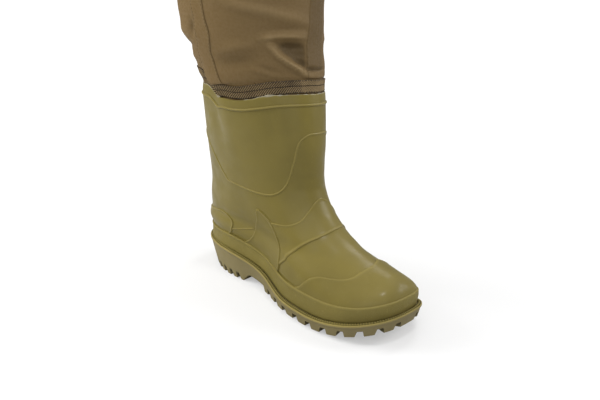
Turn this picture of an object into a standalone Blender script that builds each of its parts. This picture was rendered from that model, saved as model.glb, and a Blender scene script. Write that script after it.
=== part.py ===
"""Right wader boot with the lower end of its fabric leg, built as separate solids in metres."""
import bpy
import numpy as np

# Sizes in millimetres: x from the heel's back edge to the toe, y to the inner side, z up
LENGTH = 300.0
BALL_HALF = 56.5
BALL_AT = 212.0
FRONT_ROUND = 2.6
BACK_ROUND = 2.3
TOE_BIAS = 6.8
WAIST_AT = 122.0
WAIST_LONG = 45.0
WAIST_OUTER = 15.6
WAIST_INNER = 21.3

# Height of the welt: heel, ball and the extra rise at the toe
HEEL_TOP = 32.0
BALL_TOP = 12.6
TOE_RISE = 17.4
TOE_SPRING = 17.0
SPRING_FROM = 215.0

# Walls and gaps
UPPER_WALL = 2.0
LEG_WALL = 1.0
GAP = 0.35
SHAFT_GAP = 0.6
PLATE_RISE = 1.4
INSOLE_THICK = 3.0
RAND_HIGH = 17.0

# Edge lugs, measured along the sole's lower edge from the toe
LUG_FIRST, LUG_PITCH, LUG_COUNT = 15.7, 19.4, 10
LUG_OPEN, LUG_ROOT, LUG_DEEP = 8.0, 5.0, 6.0
HEEL_FIRST, HEEL_PITCH, HEEL_COUNT = 247.5, 12.0, 8
HEEL_OPEN, HEEL_ROOT, HEEL_DEEP = 6.4, 4.6, 5.5
CHANNEL_DEEP = 4.5

# Arch underneath: where the heel ends, how high it rises, where the forefoot starts
BREAST_AT, BREAST_LONG, BREAST_HIGH = 93.0, 10.0, 9.2
FOREFOOT_AT, FOREFOOT_STEP, FOREFOOT_HIGH = 129.0, 2.0, 5.5

# The worn collar dips on the outer side
DIP, DIP_AT, DIP_WIDE = 10.5, 79.0, 33.0

# The row's origin under the middle of the whole object
X_CENTRE = 129.5

# Facets around the boot and around the leg
AROUND = 48
LEG_AROUND = 28
SHAFT_STATIONS = 37

ROW = ("z_back", "z_front", "x_back", "x_front", "x_wide", "half", "n_front", "n_back", "bias", "follow", "waist")

# One row per section of the upper, from the welt to the collar
UPPER = (
    (32.3, 27.3, 6.5, 292.0, 212.0, 47.7, 2.60, 2.40, 6.8, 1.00, 1.00),
    (49.0, 44.3, 5.2, 291.5, 211.0, 47.5, 2.80, 2.50, 7.0, 1.00, 0.97),
    (60.0, 57.0, 3.0, 276.5, 179.0, 45.3, 2.00, 2.80, 6.0, 0.80, 0.75),
    (70.0, 66.5, 2.2, 238.5, 144.5, 40.7, 1.80, 2.60, 5.0, 0.55, 0.50),
    (80.0, 79.0, 2.2, 206.0, 126.0, 41.5, 2.00, 2.50, 4.0, 0.35, 0.30),
    (91.0, 93.0, 3.0, 187.0, 112.5, 42.0, 2.00, 2.45, 3.0, 0.15, 0.10),
    (106.0, 110.0, 3.8, 174.0, 101.0, 42.3, 2.00, 2.30, 2.0, 0.0, 0.0),
    (122.0, 128.0, 3.4, 167.5, 90.0, 44.0, 2.00, 2.20, 1.0, 0.0, 0.0),
    (141.5, 146.5, 2.0, 165.7, 83.5, 46.8, 2.00, 2.15, 0.0, 0.0, 0.0),
    (163.5, 169.0, -0.6, 164.5, 80.5, 49.6, 2.00, 2.10, 0.0, 0.0, 0.0),
    (185.5, 192.0, -3.4, 161.2, 79.0, 52.2, 2.00, 2.05, 0.0, 0.0, 0.0),
    (206.5, 212.0, -4.8, 157.8, 77.5, 54.2, 2.00, 2.05, 0.0, 0.0, 0.0),
    (217.0, 222.0, -4.7, 155.8, 77.3, 54.5, 2.00, 2.00, 0.0, 0.0, 0.0),
)
UPPER_AT = (0, 1, 1.6, 2.2, 2.8, 3.4, 4.1, 4.9, 5.8, 7, 8.5, 10.2, 12)

# One row per section of the fabric leg, from inside the collar to the hem
LEG_ROW = ("z_back", "z_front", "x_back", "x_front", "x_wide", "half")
LEG = (
    (196.0, 200.0, -1.2, 156.0, 78.0, 50.4),
    (219.0, 224.0, -2.2, 152.7, 77.3, 51.8),
    (230.0, 235.0, -9.0, 150.8, 75.0, 55.2),
    (240.0, 245.0, -11.0, 149.0, 73.0, 59.0),
    (252.0, 256.0, -14.5, 146.3, 69.0, 62.8),
    (270.0, 272.0, -26.0, 142.5, 61.5, 67.3),
    (290.0, 290.0, -36.0, 140.8, 55.0, 69.3),
    (312.0, 312.0, -38.8, 139.5, 51.0, 70.0),
    (372.0, 372.0, -41.0, 139.5, 49.5, 71.0),
)
LEG_AT = (0, 1, 2, 3, 4, 5, 6, 7, 8)

# Plates on the upper: columns are the row of the upper and the angle from the toe in degrees
FIN = (
    # row, front angle, rear angle
    (0.80, 107.0, 125.5),
    (1.08, 105.4, 123.0),
    (1.70, 99.9, 116.7),
    (2.40, 92.9, 109.9),
    (3.10, 84.3, 103.0),
    (3.80, 77.8, 97.0),
    (4.50, 74.3, 90.5),
    (5.00, 76.0, 85.8),
    (5.25, 79.5, 82.5),
)
STRAP = (
    # share of the way from the ridge to the fin, lower row, upper row
    (0.00, 4.45, 6.28),
    (0.14, 4.38, 6.10),
    (0.25, 4.29, 5.82),
    (0.36, 4.14, 5.50),
    (0.45, 4.02, 5.23),
    (0.56, 3.83, 4.97),
    (0.68, 3.53, 4.77),
    (0.785, 3.16, 4.65),
    (0.866, 2.80, 4.60),
    (0.93, 2.52, 4.57),
    (0.97, 2.28, 4.56),
    (1.00, 1.85, 4.55),
)
TOE_CAP = (
    # angle, upper row
    (0.0, 2.70),
    (15.0, 2.60),
    (28.0, 2.44),
    (38.0, 2.27),
    (47.0, 2.17),
    (56.0, 2.15),
    (65.0, 2.13),
    (73.0, 1.98),
    (82.0, 1.72),
    (90.0, 1.46),
    (95.0, 1.16),
)
COUNTER_TOP = (
    # share of the way from the heel's back to the plate's front edge, upper row
    (0.00, 2.66),
    (0.30, 2.70),
    (0.50, 2.80),
    (0.70, 3.02),
    (0.85, 3.24),
    (0.94, 3.30),
    (1.00, 3.16),
)
COUNTER_EDGE = (
    # row, angle of the plate's front edge
    (1.07, 130.3),
    (1.60, 127.0),
    (2.36, 123.0),
    (2.80, 122.3),
    (3.20, 124.5),
)
SHAFT_RIB = (
    # angle, row, from the shin round the outer side to the back
    (0.0, 9.57),
    (10.0, 9.56),
    (20.0, 9.34),
    (25.0, 8.98),
    (28.0, 8.45),
    (33.5, 7.64),
    (39.0, 7.07),
    (47.0, 6.64),
    (57.0, 6.37),
    (69.0, 6.31),
    (83.0, 6.39),
    (96.0, 6.49),
    (102.4, 6.55),
    (104.6, 6.60),
    (105.5, 6.74),
    (108.5, 7.12),
    (112.5, 7.62),
    (118.5, 8.10),
    (126.0, 8.50),
    (140.0, 8.95),
    (160.0, 9.18),
    (180.0, 9.25),
)
SIDE_RIB = ((124.0, 1.84), (118.0, 2.22), (108.6, 2.78))
COLLAR_BEAD_ROW = 11.0

# Colours, linear
OLIVE = (0.181, 0.141, 0.042)
OLIVE_RIB = (0.220, 0.170, 0.058)
SOLE_BROWN = (0.205, 0.165, 0.070)
CLOTH = (0.168, 0.112, 0.050)
TAPE = (0.100, 0.069, 0.023)
PAD = (0.060, 0.055, 0.045)


def ease(x, low, high):
    """Smooth step from 0 at low to 1 at high."""
    s = np.clip((x - low) / (high - low), 0.0, 1.0)
    return s * s * (3.0 - 2.0 * s)


def feather(x):
    """Height of the welt's ledge at x, where the upper meets the sole."""
    toe = np.clip((x - 210.0) / 90.0, 0.0, None)
    return HEEL_TOP + (BALL_TOP - HEEL_TOP) * ease(x, 60.0, 180.0) + TOE_RISE * toe**2


def blend(table, t):
    """Smooth value of a table's columns at the fractional row t."""
    rows = np.asarray(table, float)
    last = len(rows) - 1
    t = np.clip(np.asarray(t, float), 0.0, last - 1e-9)
    i = t.astype(int)
    u = (t - i)[..., None]
    p0, p1, p2, p3 = (rows[np.clip(i + k, 0, last)] for k in (-1, 0, 1, 2))
    m1 = (p2 - p0) / 2
    m2 = (p3 - p1) / 2
    start = (2 * u**3 - 3 * u**2 + 1) * p1 + (u**3 - 2 * u**2 + u) * m1
    return start + (3 * u**2 - 2 * u**3) * p2 + (u**3 - u**2) * m2


def section(row, angle):
    """Rounded outline of one row; the angle runs from the toe to the outer side."""
    r = {name: row[..., k] for k, name in enumerate(ROW)}
    c = np.cos(angle)
    s = np.sin(angle)
    n = np.where(c >= 0, r["n_front"], r["n_back"])
    reach = (np.abs(c)**n + np.abs(s)**n)**(-1.0 / n)
    x = r["x_wide"] + c * reach * np.where(c >= 0, r["x_front"] - r["x_wide"], r["x_wide"] - r["x_back"])
    side = np.abs(s) * reach
    waist = np.where(s >= 0, WAIST_OUTER, WAIST_INNER) * r["waist"]
    pinch = waist * np.exp(-((x - WAIST_AT) / WAIST_LONG)**2)
    y = -np.sign(s) * (r["half"] * side - pinch * np.minimum(1.0, 1.6 * side))
    ahead = np.clip((x - r["x_wide"]) / (r["x_front"] - r["x_wide"]), 0.0, 1.0)
    y = y + r["bias"] * ahead**2
    along = (x - r["x_back"]) / (r["x_front"] - r["x_back"])
    chord = feather(r["x_back"]) + (feather(r["x_front"]) - feather(r["x_back"])) * along
    z = r["z_back"] + (r["z_front"] - r["z_back"]) * along + r["follow"] * (feather(x) - chord)
    return np.stack([x, y, z], -1)


def collar_dip(angle):
    """How far the worn collar has sunk at an angle."""
    turn = np.degrees(np.arctan2(np.sin(angle), np.cos(angle)))
    return DIP * np.exp(-((turn - DIP_AT) / DIP_WIDE)**2)


def upper_point(t, angle):
    """Outer face of the upper at row t and angle."""
    t, angle = np.broadcast_arrays(np.asarray(t, float), np.asarray(angle, float))
    p = section(blend(UPPER, t), angle)
    p[..., 2] -= collar_dip(angle) * ease(t, 8.0, 11.5)
    return p


def leg_point(t, angle):
    """Outer face of the fabric leg at row t and angle."""
    t, angle = np.broadcast_arrays(np.asarray(t, float), np.asarray(angle, float))
    row = blend(LEG, t)
    plain = np.broadcast_to((2.0, 2.0, 0.0, 0.0, 0.0), row.shape[:-1] + (5,))
    p = section(np.concatenate([row, plain], -1), angle)
    p[..., 2] -= collar_dip(angle) * (1.0 - ease(t, 2.0, 5.5))
    return p


def normal(face, t, angle):
    """Outward unit normal of a face, from small steps along both parameters."""
    step = 1e-3
    along_t = face(t + step, angle) - face(t - step, angle)
    along_a = face(t, angle + step) - face(t, angle - step)
    n = np.cross(along_t, along_a)
    return n / np.linalg.norm(n, axis=-1, keepdims=True)


def spread():
    """Angles that space the facets evenly along the foot, from the toe round to the toe."""
    fine = np.linspace(0.0, np.pi, 2001)
    edge = section(blend(UPPER, np.full(2001, 1.0)), fine)
    run = np.concatenate([[0.0], np.cumsum(np.linalg.norm(np.diff(edge, axis=0), axis=1))])
    half = np.interp(np.linspace(0.0, run[-1], AROUND // 2 + 1), run, fine)
    return np.concatenate([half, 2 * np.pi - half[-2:0:-1]])


def make(name, points, faces, colour, rough):
    """Add one closed solid, its faces turned outward, with its own material."""
    points = np.asarray(points, float).reshape(-1, 3)
    faces = np.asarray(faces, int)
    corner = points[faces]
    if np.sum(corner[:, 0] * np.cross(corner[:, 1], corner[:, 2])) < 0:
        faces = faces[:, ::-1]
    mesh = bpy.data.meshes.new(name)
    metres = (points - (X_CENTRE, 0.0, 0.0)) / 1000.0
    mesh.from_pydata(metres.tolist(), [], faces.tolist())
    mesh.update()
    solid = bpy.data.objects.new(name, mesh)
    bpy.context.scene.collection.objects.link(solid)
    material = bpy.data.materials.new(name + "_material")
    material.use_nodes = True
    shader = material.node_tree.nodes["Principled BSDF"]
    shader.inputs["Base Color"].default_value = (*colour, 1.0)
    shader.inputs["Roughness"].default_value = rough
    mesh.materials.append(material)
    return solid


def sweep(outer, inner, closed):
    """Points and triangles of a wall between two grids of stations by steps, split alike on both faces."""
    stations, steps = outer.shape[:2]
    loop = 2 * steps
    points = np.concatenate([outer, inner[:, ::-1]], axis=1).reshape(-1, 3)
    faces = []
    for i in range(stations if closed else stations - 1):
        a = i * loop
        b = (i + 1) % stations * loop
        for j in range(loop):
            k = (j + 1) % loop
            if j < steps:
                faces += [(a + j, a + k, b + k), (a + j, b + k, b + j)]
            else:
                faces += [(a + j, a + k, b + j), (a + k, b + k, b + j)]
    if not closed:
        for a, turn in ((0, 1), ((stations - 1) * loop, -1)):
            for j in range(steps - 1):
                p, q, r, s = a + j, a + loop - 1 - j, a + loop - 2 - j, a + j + 1
                faces += [(p, q, r)[::turn], (p, r, s)[::turn]]
    return points, faces


def stack(rings):
    """Points and triangles of a body built from rings, closed by strips from side to side."""
    count = rings.shape[1]
    half = count // 2
    faces = []
    for level in range(len(rings) - 1):
        a = level * count
        b = a + count
        for j in range(count):
            k = (j + 1) % count
            faces += [(a + j, a + k, b + k), (a + j, b + k, b + j)]
    for base, turn in ((0, -1), ((len(rings) - 1) * count, 1)):
        for j in range(half):
            near, far = (count - j) % count, (count - j - 1) % count
            strip = [(j, j + 1, far), (j, far, near)]
            faces += [tuple(base + i for i in t[::turn]) for t in strip if len(set(t)) == 3]
    return rings.reshape(-1, 3), faces


def drawn_in(edge, inset):
    """Closed edge moved inwards by a distance, square to itself in plan."""
    along = np.roll(edge, -1, axis=0) - np.roll(edge, 1, axis=0)
    inward = np.stack([along[:, 1], -along[:, 0], np.zeros(len(along))], -1)
    inward = inward / np.linalg.norm(inward, axis=-1, keepdims=True)
    return edge + inset * inward


def outline(inset, heel_inset, angle):
    """Sole outline drawn in by an inset; height is left at zero."""
    row = np.array((0.0, 0.0, heel_inset, LENGTH - inset, BALL_AT, BALL_HALF - inset,
                    FRONT_ROUND, BACK_ROUND, TOE_BIAS, 0.0, 1.0))
    p = section(np.broadcast_to(row, np.shape(angle) + row.shape), angle)
    p[..., 2] = 0.0
    return p


def arch(x):
    """Height of the sole's underside: flat heel, curved breast, arch, flat forefoot."""
    breast = BREAST_HIGH * np.sin(np.pi / 2 * np.clip((x - BREAST_AT) / BREAST_LONG, 0.0, 1.0))
    rear = BREAST_AT + BREAST_LONG
    slope = (FOREFOOT_HIGH - BREAST_HIGH) * np.clip((x - rear) / (FOREFOOT_AT - rear), 0.0, 1.0)
    keep = 1.0 - np.clip((x - FOREFOOT_AT) / FOREFOOT_STEP, 0.0, 1.0)
    return (breast + slope) * keep


def edge_samples():
    """Angles along the sole's lower edge with the notch share of each, toe to heel, then mirrored."""
    fine = np.linspace(0.0, np.pi, 2001)
    edge = outline(2.9, 15.5, fine)
    run = np.concatenate([[0.0], np.cumsum(np.linalg.norm(np.diff(edge, axis=0), axis=1))])
    marks = [(0.0, 0.0, 1.0), (LUG_FIRST * 0.4, 0.0, 1.0)]
    for first, pitch, count, wide, root, deep in (
            (LUG_FIRST, LUG_PITCH, LUG_COUNT, LUG_OPEN, LUG_ROOT, LUG_DEEP),
            (HEEL_FIRST, HEEL_PITCH, HEEL_COUNT, HEEL_OPEN, HEEL_ROOT, HEEL_DEEP)):
        for k in range(count):
            at = first + pitch * k
            marks += [(at - wide / 2, 0.0, 1.0), (at - root / 2, deep, 1.0)]
            marks += [(at + root / 2, deep, 1.0), (at + wide / 2, 0.0, 1.0)]
            if at < 60.0 or at > 290.0:
                marks.append((at + pitch / 2, 0.0, 1.0))
    rear = BREAST_AT + BREAST_LONG
    for x in (BREAST_AT, BREAST_AT + 2.5, BREAST_AT + 5.5, rear, rear + 9.0, rear + 18.0,
              FOREFOOT_AT, FOREFOOT_AT + FOREFOOT_STEP):
        flat = 1.0 if x >= FOREFOOT_AT + FOREFOOT_STEP or x <= BREAST_AT else 0.0
        marks.append((np.interp(x, edge[::-1, 0], run[::-1]), 0.0, flat))
    marks.append((run[-1], 0.0, 1.0))
    marks = np.array(sorted(marks))
    angle = np.interp(marks[:, 0], run, fine)
    both = np.concatenate([angle, -angle[-2:0:-1]])
    notch = np.concatenate([marks[:, 1], marks[-2:0:-1, 1]])
    treads = np.concatenate([marks[:, 2], marks[-2:0:-1, 2]])
    return both, notch, treads


def build_outsole():
    """Sole with edge lugs, a tread channel, the side wall and the welt bead."""
    angle, notch, tread = edge_samples()
    edge = outline(2.9, 15.5, angle)
    under = arch(edge[:, 0])
    rings = []
    for inset, lift in ((18.0, 0.0 * tread), (17.0, CHANNEL_DEEP * tread), (14.0, CHANNEL_DEEP * tread),
                        (13.0, notch), (0.0, 0.0 * notch)):
        ring = drawn_in(edge, inset)
        spring = np.clip((ring[:, 0] - SPRING_FROM) / (LENGTH - SPRING_FROM), 0.0, None)
        ring[:, 2] = under + lift + TOE_SPRING * spring**2
        rings.append(ring)
    for inset, lift in ((0.9, -3.3), (0.0, -1.5), (0.4, 0.8), (2.1, 0.0)):
        ring = outline(inset, inset, angle)
        ring[:, 2] = feather(ring[:, 0]) + lift
        rings.append(ring)
    foot, wall = rings[4], rings[5]
    share = notch / (wall[:, 2] - foot[:, 2])
    rings[4] = foot + (wall - foot) * share[:, None]
    points, faces = stack(np.array(rings))
    return make("outsole", points, faces, SOLE_BROWN, 0.55)


def build_insole():
    """Thin pad on the sole, a little inside the upper's wall."""
    angle = spread()
    t = np.full(AROUND, 0.12)
    edge = upper_point(t, angle) - (UPPER_WALL + 0.7) * normal(upper_point, t, angle)
    rings = np.stack([edge, edge])
    rings[..., 2] = feather(rings[..., 0]) + np.array([[GAP], [GAP + INSOLE_THICK]])
    points, faces = stack(rings)
    return make("insole", points, faces, PAD, 0.9)


def build_upper():
    """Hollow boot: one wall from the welt to the collar, open at both ends."""
    angle = spread()[:, None]
    t = np.array(UPPER_AT, float)[None, :]
    outer = upper_point(t, angle)
    inner = outer - UPPER_WALL * normal(upper_point, t + 0 * angle, angle + 0 * t)
    for face in (outer, inner):
        face[:, 0, 2] = feather(face[:, 0, 0]) + GAP
    points, faces = sweep(outer, inner, True)
    return make("upper", points, faces, OLIVE, 0.38)


def build_rand():
    """Band around the foot over the welt, leaning in towards its top edge."""
    angle = spread()[:, None]
    lifts = np.array((GAP, RAND_HIGH))[None, :]
    t = lifts / RAND_HIGH
    base = upper_point(t, angle)
    out = normal(upper_point, t + 0 * angle, angle + 0 * t)
    outer = base + out * np.array((3.0, 1.8))[None, :, None]
    inner = base + out * GAP
    for face in (outer, inner):
        face[..., 2] = feather(face[..., 0]) + lifts
    points, faces = sweep(outer, inner, True)
    return make("rand", points, faces, OLIVE, 0.6)


def cut_from_shell(name, cutter_points, cutter_faces, rise, colour):
    """Piece of a thin shell over the upper's own facets, kept where a cutter stands through it."""
    angle = spread()[:, None]
    t = np.array((1.03,) + UPPER_AT[2:], float)[None, :]
    base = upper_point(t, angle)
    out = normal(upper_point, t + 0 * angle, angle + 0 * t)
    points, faces = sweep(base + rise * out, base + GAP * out, True)
    piece = make(name, points, faces, colour, 0.38)
    cutter = make(name + "_cutter", cutter_points, cutter_faces, colour, 0.38)
    cutter.hide_render = True
    cutter.display_type = "WIRE"
    cut = piece.modifiers.new("cut", "BOOLEAN")
    cut.operation = "INTERSECT"
    cut.solver = "EXACT"
    cut.object = cutter
    return piece


def plate(name, t, degrees):
    """Raised plate on the upper over a grid of rows and angles."""
    angle = np.radians(degrees)
    base = upper_point(t, angle)
    out = normal(upper_point, t, angle)
    points, faces = sweep(base + 5.0 * out, base - 4.0 * out, False)
    return cut_from_shell(name, points, faces, PLATE_RISE, OLIVE)


def column(table, key, at):
    """Smooth value of one column of a table at values of its first column."""
    rows = np.asarray(table, float)
    t = np.interp(at, rows[:, 0], np.arange(len(rows)))
    return blend(rows, t)[..., key]


def build_plates():
    """Toe cap, instep strap, heel counter and the two side fins."""
    low = 1.07
    across = np.linspace(0.0, 1.0, 3)[None, :]

    turn = np.linspace(-95.0, 95.0, 19)[:, None]
    top = column(TOE_CAP, 1, np.abs(turn))
    plate("toe_cap", low + (top - low) * across, turn + 0 * across)

    share = np.linspace(-1.0, 1.0, 15)[:, None]
    lower = column(STRAP, 1, np.abs(share))
    upper = column(STRAP, 2, np.abs(share))
    t = lower + (upper - lower) * np.linspace(0.0, 1.0, 4)[None, :]
    reach = column(FIN, 1, np.clip(t, 1.08, 5.0)) - 0.9
    plate("instep_strap", t, share * reach)

    share = np.linspace(-1.0, 1.0, 15)[:, None]
    top = column(COUNTER_TOP, 1, np.abs(share))
    t = low + (top - low) * across
    plate("heel_counter", t, 180.0 - share * (180.0 - column(COUNTER_EDGE, 1, t)))

    t = np.linspace(FIN[0][0], FIN[-1][0], 8)[:, None]
    for name, side in (("fin_lateral", 1.0), ("fin_medial", -1.0)):
        front = column(FIN, 1, t)
        rear = column(FIN, 2, t)
        plate(name, t + 0 * across, side * (front + (rear - front) * across))


def build_side_rib(name, degrees, t, wide, high):
    """Short raised rib that follows a line of angles and rows on the upper."""
    angle = np.radians(degrees)
    base = upper_point(t, angle)
    out = normal(upper_point, t, angle)
    across = np.cross(out, np.gradient(base, axis=0))
    across = across / np.linalg.norm(across, axis=-1, keepdims=True)
    edges = base[:, None] + wide * np.array((-0.5, 0.5))[None, :, None] * across[:, None]
    points, faces = sweep(edges + 4.0 * out[:, None], edges - 3.0 * out[:, None], False)
    return cut_from_shell(name, points, faces, high, OLIVE_RIB)


def build_collar_bead():
    """Rib around the collar, on the upper's own columns."""
    angle = spread()[:, None]
    t = COLLAR_BEAD_ROW + np.array((-0.15, 0.15))[None, :]
    low = upper_point(np.array([[UPPER_AT[-2]]]), angle)
    high = upper_point(np.array([[UPPER_AT[-1]]]), angle)
    mix = ((t - UPPER_AT[-2]) / (UPPER_AT[-1] - UPPER_AT[-2]))[..., None]
    base = low * (1.0 - mix) + high * mix
    out = normal(upper_point, t + 0 * angle, angle + 0 * t)
    points, faces = sweep(base + 1.7 * out, base + GAP * out, True)
    return make("collar_bead", points, faces, OLIVE_RIB, 0.38)


def build_shaft_rib():
    """Slim rib round the shaft, high at the shin and low on both sides."""
    line = blend(SHAFT_RIB, np.linspace(0.0, len(SHAFT_RIB) - 1, SHAFT_STATIONS))
    around = np.concatenate([line, (line * (-1.0, 1.0))[-2:0:-1]])
    angle = np.radians(around[:, 0])
    base = upper_point(around[:, 1], angle)
    out = normal(upper_point, around[:, 1], angle)
    across = np.cross(out, np.roll(base, -1, axis=0) - np.roll(base, 1, axis=0))
    across = across / np.linalg.norm(across, axis=-1, keepdims=True)
    edges = base[:, None] + 1.3 * np.array((-1.0, 1.0))[None, :, None] * across[:, None]
    points, faces = sweep(edges + 1.6 * out[:, None], edges + SHAFT_GAP * out[:, None], True)
    return make("shaft_rib", points, faces, OLIVE_RIB, 0.38)


def build_ribs():
    """Collar bead, the line round the shaft and the short side ribs."""
    build_collar_bead()
    build_shaft_rib()

    line = blend(SIDE_RIB, np.linspace(0.0, len(SIDE_RIB) - 1, 5))
    build_side_rib("side_rib_lateral", line[:, 0], line[:, 1], 2.4, 1.3)
    build_side_rib("side_rib_medial", -line[:, 0], line[:, 1], 2.4, 1.3)


def build_leg():
    """Fabric tube from inside the collar to its open hem, and the tape over its seam."""
    angle = (np.arange(LEG_AROUND) * 2 * np.pi / LEG_AROUND)[:, None]
    t = np.array(LEG_AT, float)[None, :]
    outer = leg_point(t, angle)
    inner = outer - LEG_WALL * normal(leg_point, t + 0 * angle, angle + 0 * t)
    points, faces = sweep(outer, inner, True)
    make("leg", points, faces, CLOTH, 0.8)

    t = np.array((1.0, 2.0))[None, :]
    base = leg_point(t, angle)
    out = normal(leg_point, t + 0 * angle, angle + 0 * t)
    points, faces = sweep(base + 1.3 * out, base + 0.35 * out, True)
    make("seam_tape", points, faces, TAPE, 0.85)


def main():
    for thing in list(bpy.data.objects):
        bpy.data.objects.remove(thing, do_unlink=True)
    build_outsole()
    build_insole()
    build_upper()
    build_rand()
    build_plates()
    build_ribs()
    build_leg()


main()
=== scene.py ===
"""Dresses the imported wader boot: satin rubber, lugged sole, plates, ribs, creased fabric leg and twill tape."""

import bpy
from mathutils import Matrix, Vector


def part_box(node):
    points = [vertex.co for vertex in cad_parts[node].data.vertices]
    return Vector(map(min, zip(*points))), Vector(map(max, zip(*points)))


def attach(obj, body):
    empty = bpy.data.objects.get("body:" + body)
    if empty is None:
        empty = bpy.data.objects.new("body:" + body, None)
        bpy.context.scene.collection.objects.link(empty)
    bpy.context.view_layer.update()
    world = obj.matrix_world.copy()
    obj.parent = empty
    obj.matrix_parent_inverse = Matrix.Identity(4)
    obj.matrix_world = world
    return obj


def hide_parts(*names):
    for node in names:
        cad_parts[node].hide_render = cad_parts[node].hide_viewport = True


bl_info = {
    "name": "Wader boot",
    "version": (1, 0, 0),
    "blender": (4, 5, 0),
    "location": "3D View > Sidebar > Wader",
    "description": "Builds the visible surfaces of a right wader boot with the end of its fabric leg",
    "category": "Object",
}

import math

import bpy
import numpy as np
from bpy.props import FloatProperty, FloatVectorProperty, IntProperty, PointerProperty

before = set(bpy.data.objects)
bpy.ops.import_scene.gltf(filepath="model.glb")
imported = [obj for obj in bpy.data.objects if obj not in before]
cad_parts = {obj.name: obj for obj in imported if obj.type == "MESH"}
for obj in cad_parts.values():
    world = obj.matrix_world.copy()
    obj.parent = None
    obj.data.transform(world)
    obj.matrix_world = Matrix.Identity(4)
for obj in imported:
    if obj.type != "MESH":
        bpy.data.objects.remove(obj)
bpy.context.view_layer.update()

# Millimetres from here on: x runs from the heel's back edge to the toe, y to the inner side, z up
X_CENTRE = -1000.0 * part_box("outsole")[0][0]
LENGTH, BALL_HALF, BALL_AT = 300.0, 56.5, 212.0
FRONT_ROUND, BACK_ROUND, TOE_BIAS = 2.6, 2.3, 6.8
WAIST_AT, WAIST_LONG, WAIST_OUTER, WAIST_INNER = 122.0, 45.0, 15.6, 21.3
HEEL_TOP, BALL_TOP, TOE_RISE = 32.0, 12.6, 17.4
TOE_SPRING, SPRING_FROM = 17.0, 215.0
UPPER_WALL, RAND_HIGH, ROW_STEP = 2.0, 17.0, 11.0
LUGS = (
    # first, pitch, count, open width, root width, depth
    (15.7, 19.4, 10, 9.0, 6.2, 6.4), (247.5, 12.0, 8, 6.8, 5.2, 6.8),
)
BREAST_AT, BREAST_LONG, BREAST_HIGH = 93.0, 10.0, 9.2
FOREFOOT_AT, FOREFOOT_STEP, FOREFOOT_HIGH = 129.0, 2.0, 5.5
COLLAR_DIPS = (
    # angle, half width in degrees, depth
    (79.0, 33.0, 10.5), (98.0, 6.0, 3.4), (113.0, 8.0, -2.0),
)

ROW = ("z_back", "z_front", "x_back", "x_front", "x_wide", "half", "n_front", "n_back", "bias", "follow", "waist")
UPPER = (
    (32.3, 27.3, 6.5, 292.0, 212.0, 47.7, 2.60, 2.40, 6.8, 1.00, 1.00),
    (49.0, 44.3, 5.2, 291.5, 211.0, 47.5, 2.80, 2.50, 7.0, 1.00, 0.97),
    (60.0, 57.0, 3.0, 276.5, 179.0, 45.3, 2.00, 2.80, 6.0, 0.80, 0.75),
    (70.0, 66.5, 2.2, 238.5, 144.5, 40.7, 1.80, 2.60, 5.0, 0.55, 0.50),
    (80.0, 79.0, 2.2, 206.0, 126.0, 41.5, 2.00, 2.50, 4.0, 0.35, 0.30),
    (91.0, 93.0, 3.0, 187.0, 112.5, 42.0, 2.00, 2.45, 3.0, 0.15, 0.10),
    (106.0, 110.0, 3.8, 174.0, 101.0, 42.3, 2.00, 2.30, 2.0, 0.0, 0.0),
    (122.0, 128.0, 3.4, 167.5, 90.0, 44.0, 2.00, 2.20, 1.0, 0.0, 0.0),
    (141.5, 146.5, 2.0, 165.7, 83.5, 46.8, 2.00, 2.15, 0.0, 0.0, 0.0),
    (163.5, 169.0, -0.6, 164.5, 80.5, 49.6, 2.00, 2.10, 0.0, 0.0, 0.0),
    (185.5, 192.0, -3.4, 161.2, 79.0, 52.2, 2.00, 2.05, 0.0, 0.0, 0.0),
    (206.5, 212.0, -4.8, 157.8, 77.5, 54.2, 2.00, 2.05, 0.0, 0.0, 0.0),
    (217.0, 222.0, -4.7, 155.8, 77.3, 54.5, 2.00, 2.00, 0.0, 0.0, 0.0),
)
LEG = (
    # the first six columns of the rows above
    (196.0, 200.0, -1.2, 156.0, 78.0, 50.4), (219.0, 224.0, -2.2, 152.7, 77.3, 51.8),
    (230.0, 235.0, -9.0, 150.8, 75.0, 55.2), (240.0, 245.0, -11.0, 149.0, 73.0, 59.0),
    (252.0, 256.0, -14.5, 146.3, 69.0, 62.8), (270.0, 272.0, -26.0, 142.5, 61.5, 67.3),
    (290.0, 290.0, -36.0, 140.8, 55.0, 69.3), (312.0, 312.0, -38.8, 139.5, 51.0, 70.0),
    (372.0, 372.0, -41.0, 139.5, 49.5, 71.0),
)
FIN = (
    # row, front angle, rear angle
    (0.80, 107.0, 125.5), (1.08, 105.4, 123.0), (1.70, 99.9, 116.7), (2.40, 92.9, 109.9), (3.10, 84.3, 103.0),
    (3.80, 77.8, 97.0), (4.50, 74.3, 90.5), (5.00, 76.0, 85.8), (5.25, 79.5, 82.5),
)
STRAP = (
    # lower row and angle, upper row and angle, from the ridge outwards
    (4.45, 0.0, 6.28, 0.0), (4.38, 10.0, 6.10, 10.5), (4.29, 17.5, 5.82, 19.0), (4.18, 25.0, 5.51, 27.0),
    (4.07, 31.0, 5.23, 34.0), (3.83, 43.0, 4.98, 42.0), (3.52, 54.5, 4.77, 50.5), (3.16, 65.5, 4.65, 58.0),
    (2.80, 76.0, 4.60, 65.0), (2.42, 87.3, 4.56, 69.5), (2.12, 93.2, 4.54, 72.8), (1.82, 98.0, 4.52, 75.0),
    (1.55, 102.6, 4.50, 76.8),
)
TOE_CAP = (
    # angle, upper row
    (0.0, 2.70), (15.0, 2.60), (28.0, 2.44), (38.0, 2.27), (47.0, 2.17), (56.0, 2.15), (65.0, 2.13),
    (73.0, 1.98), (82.0, 1.72), (90.0, 1.46), (95.0, 1.16),
)
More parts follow.
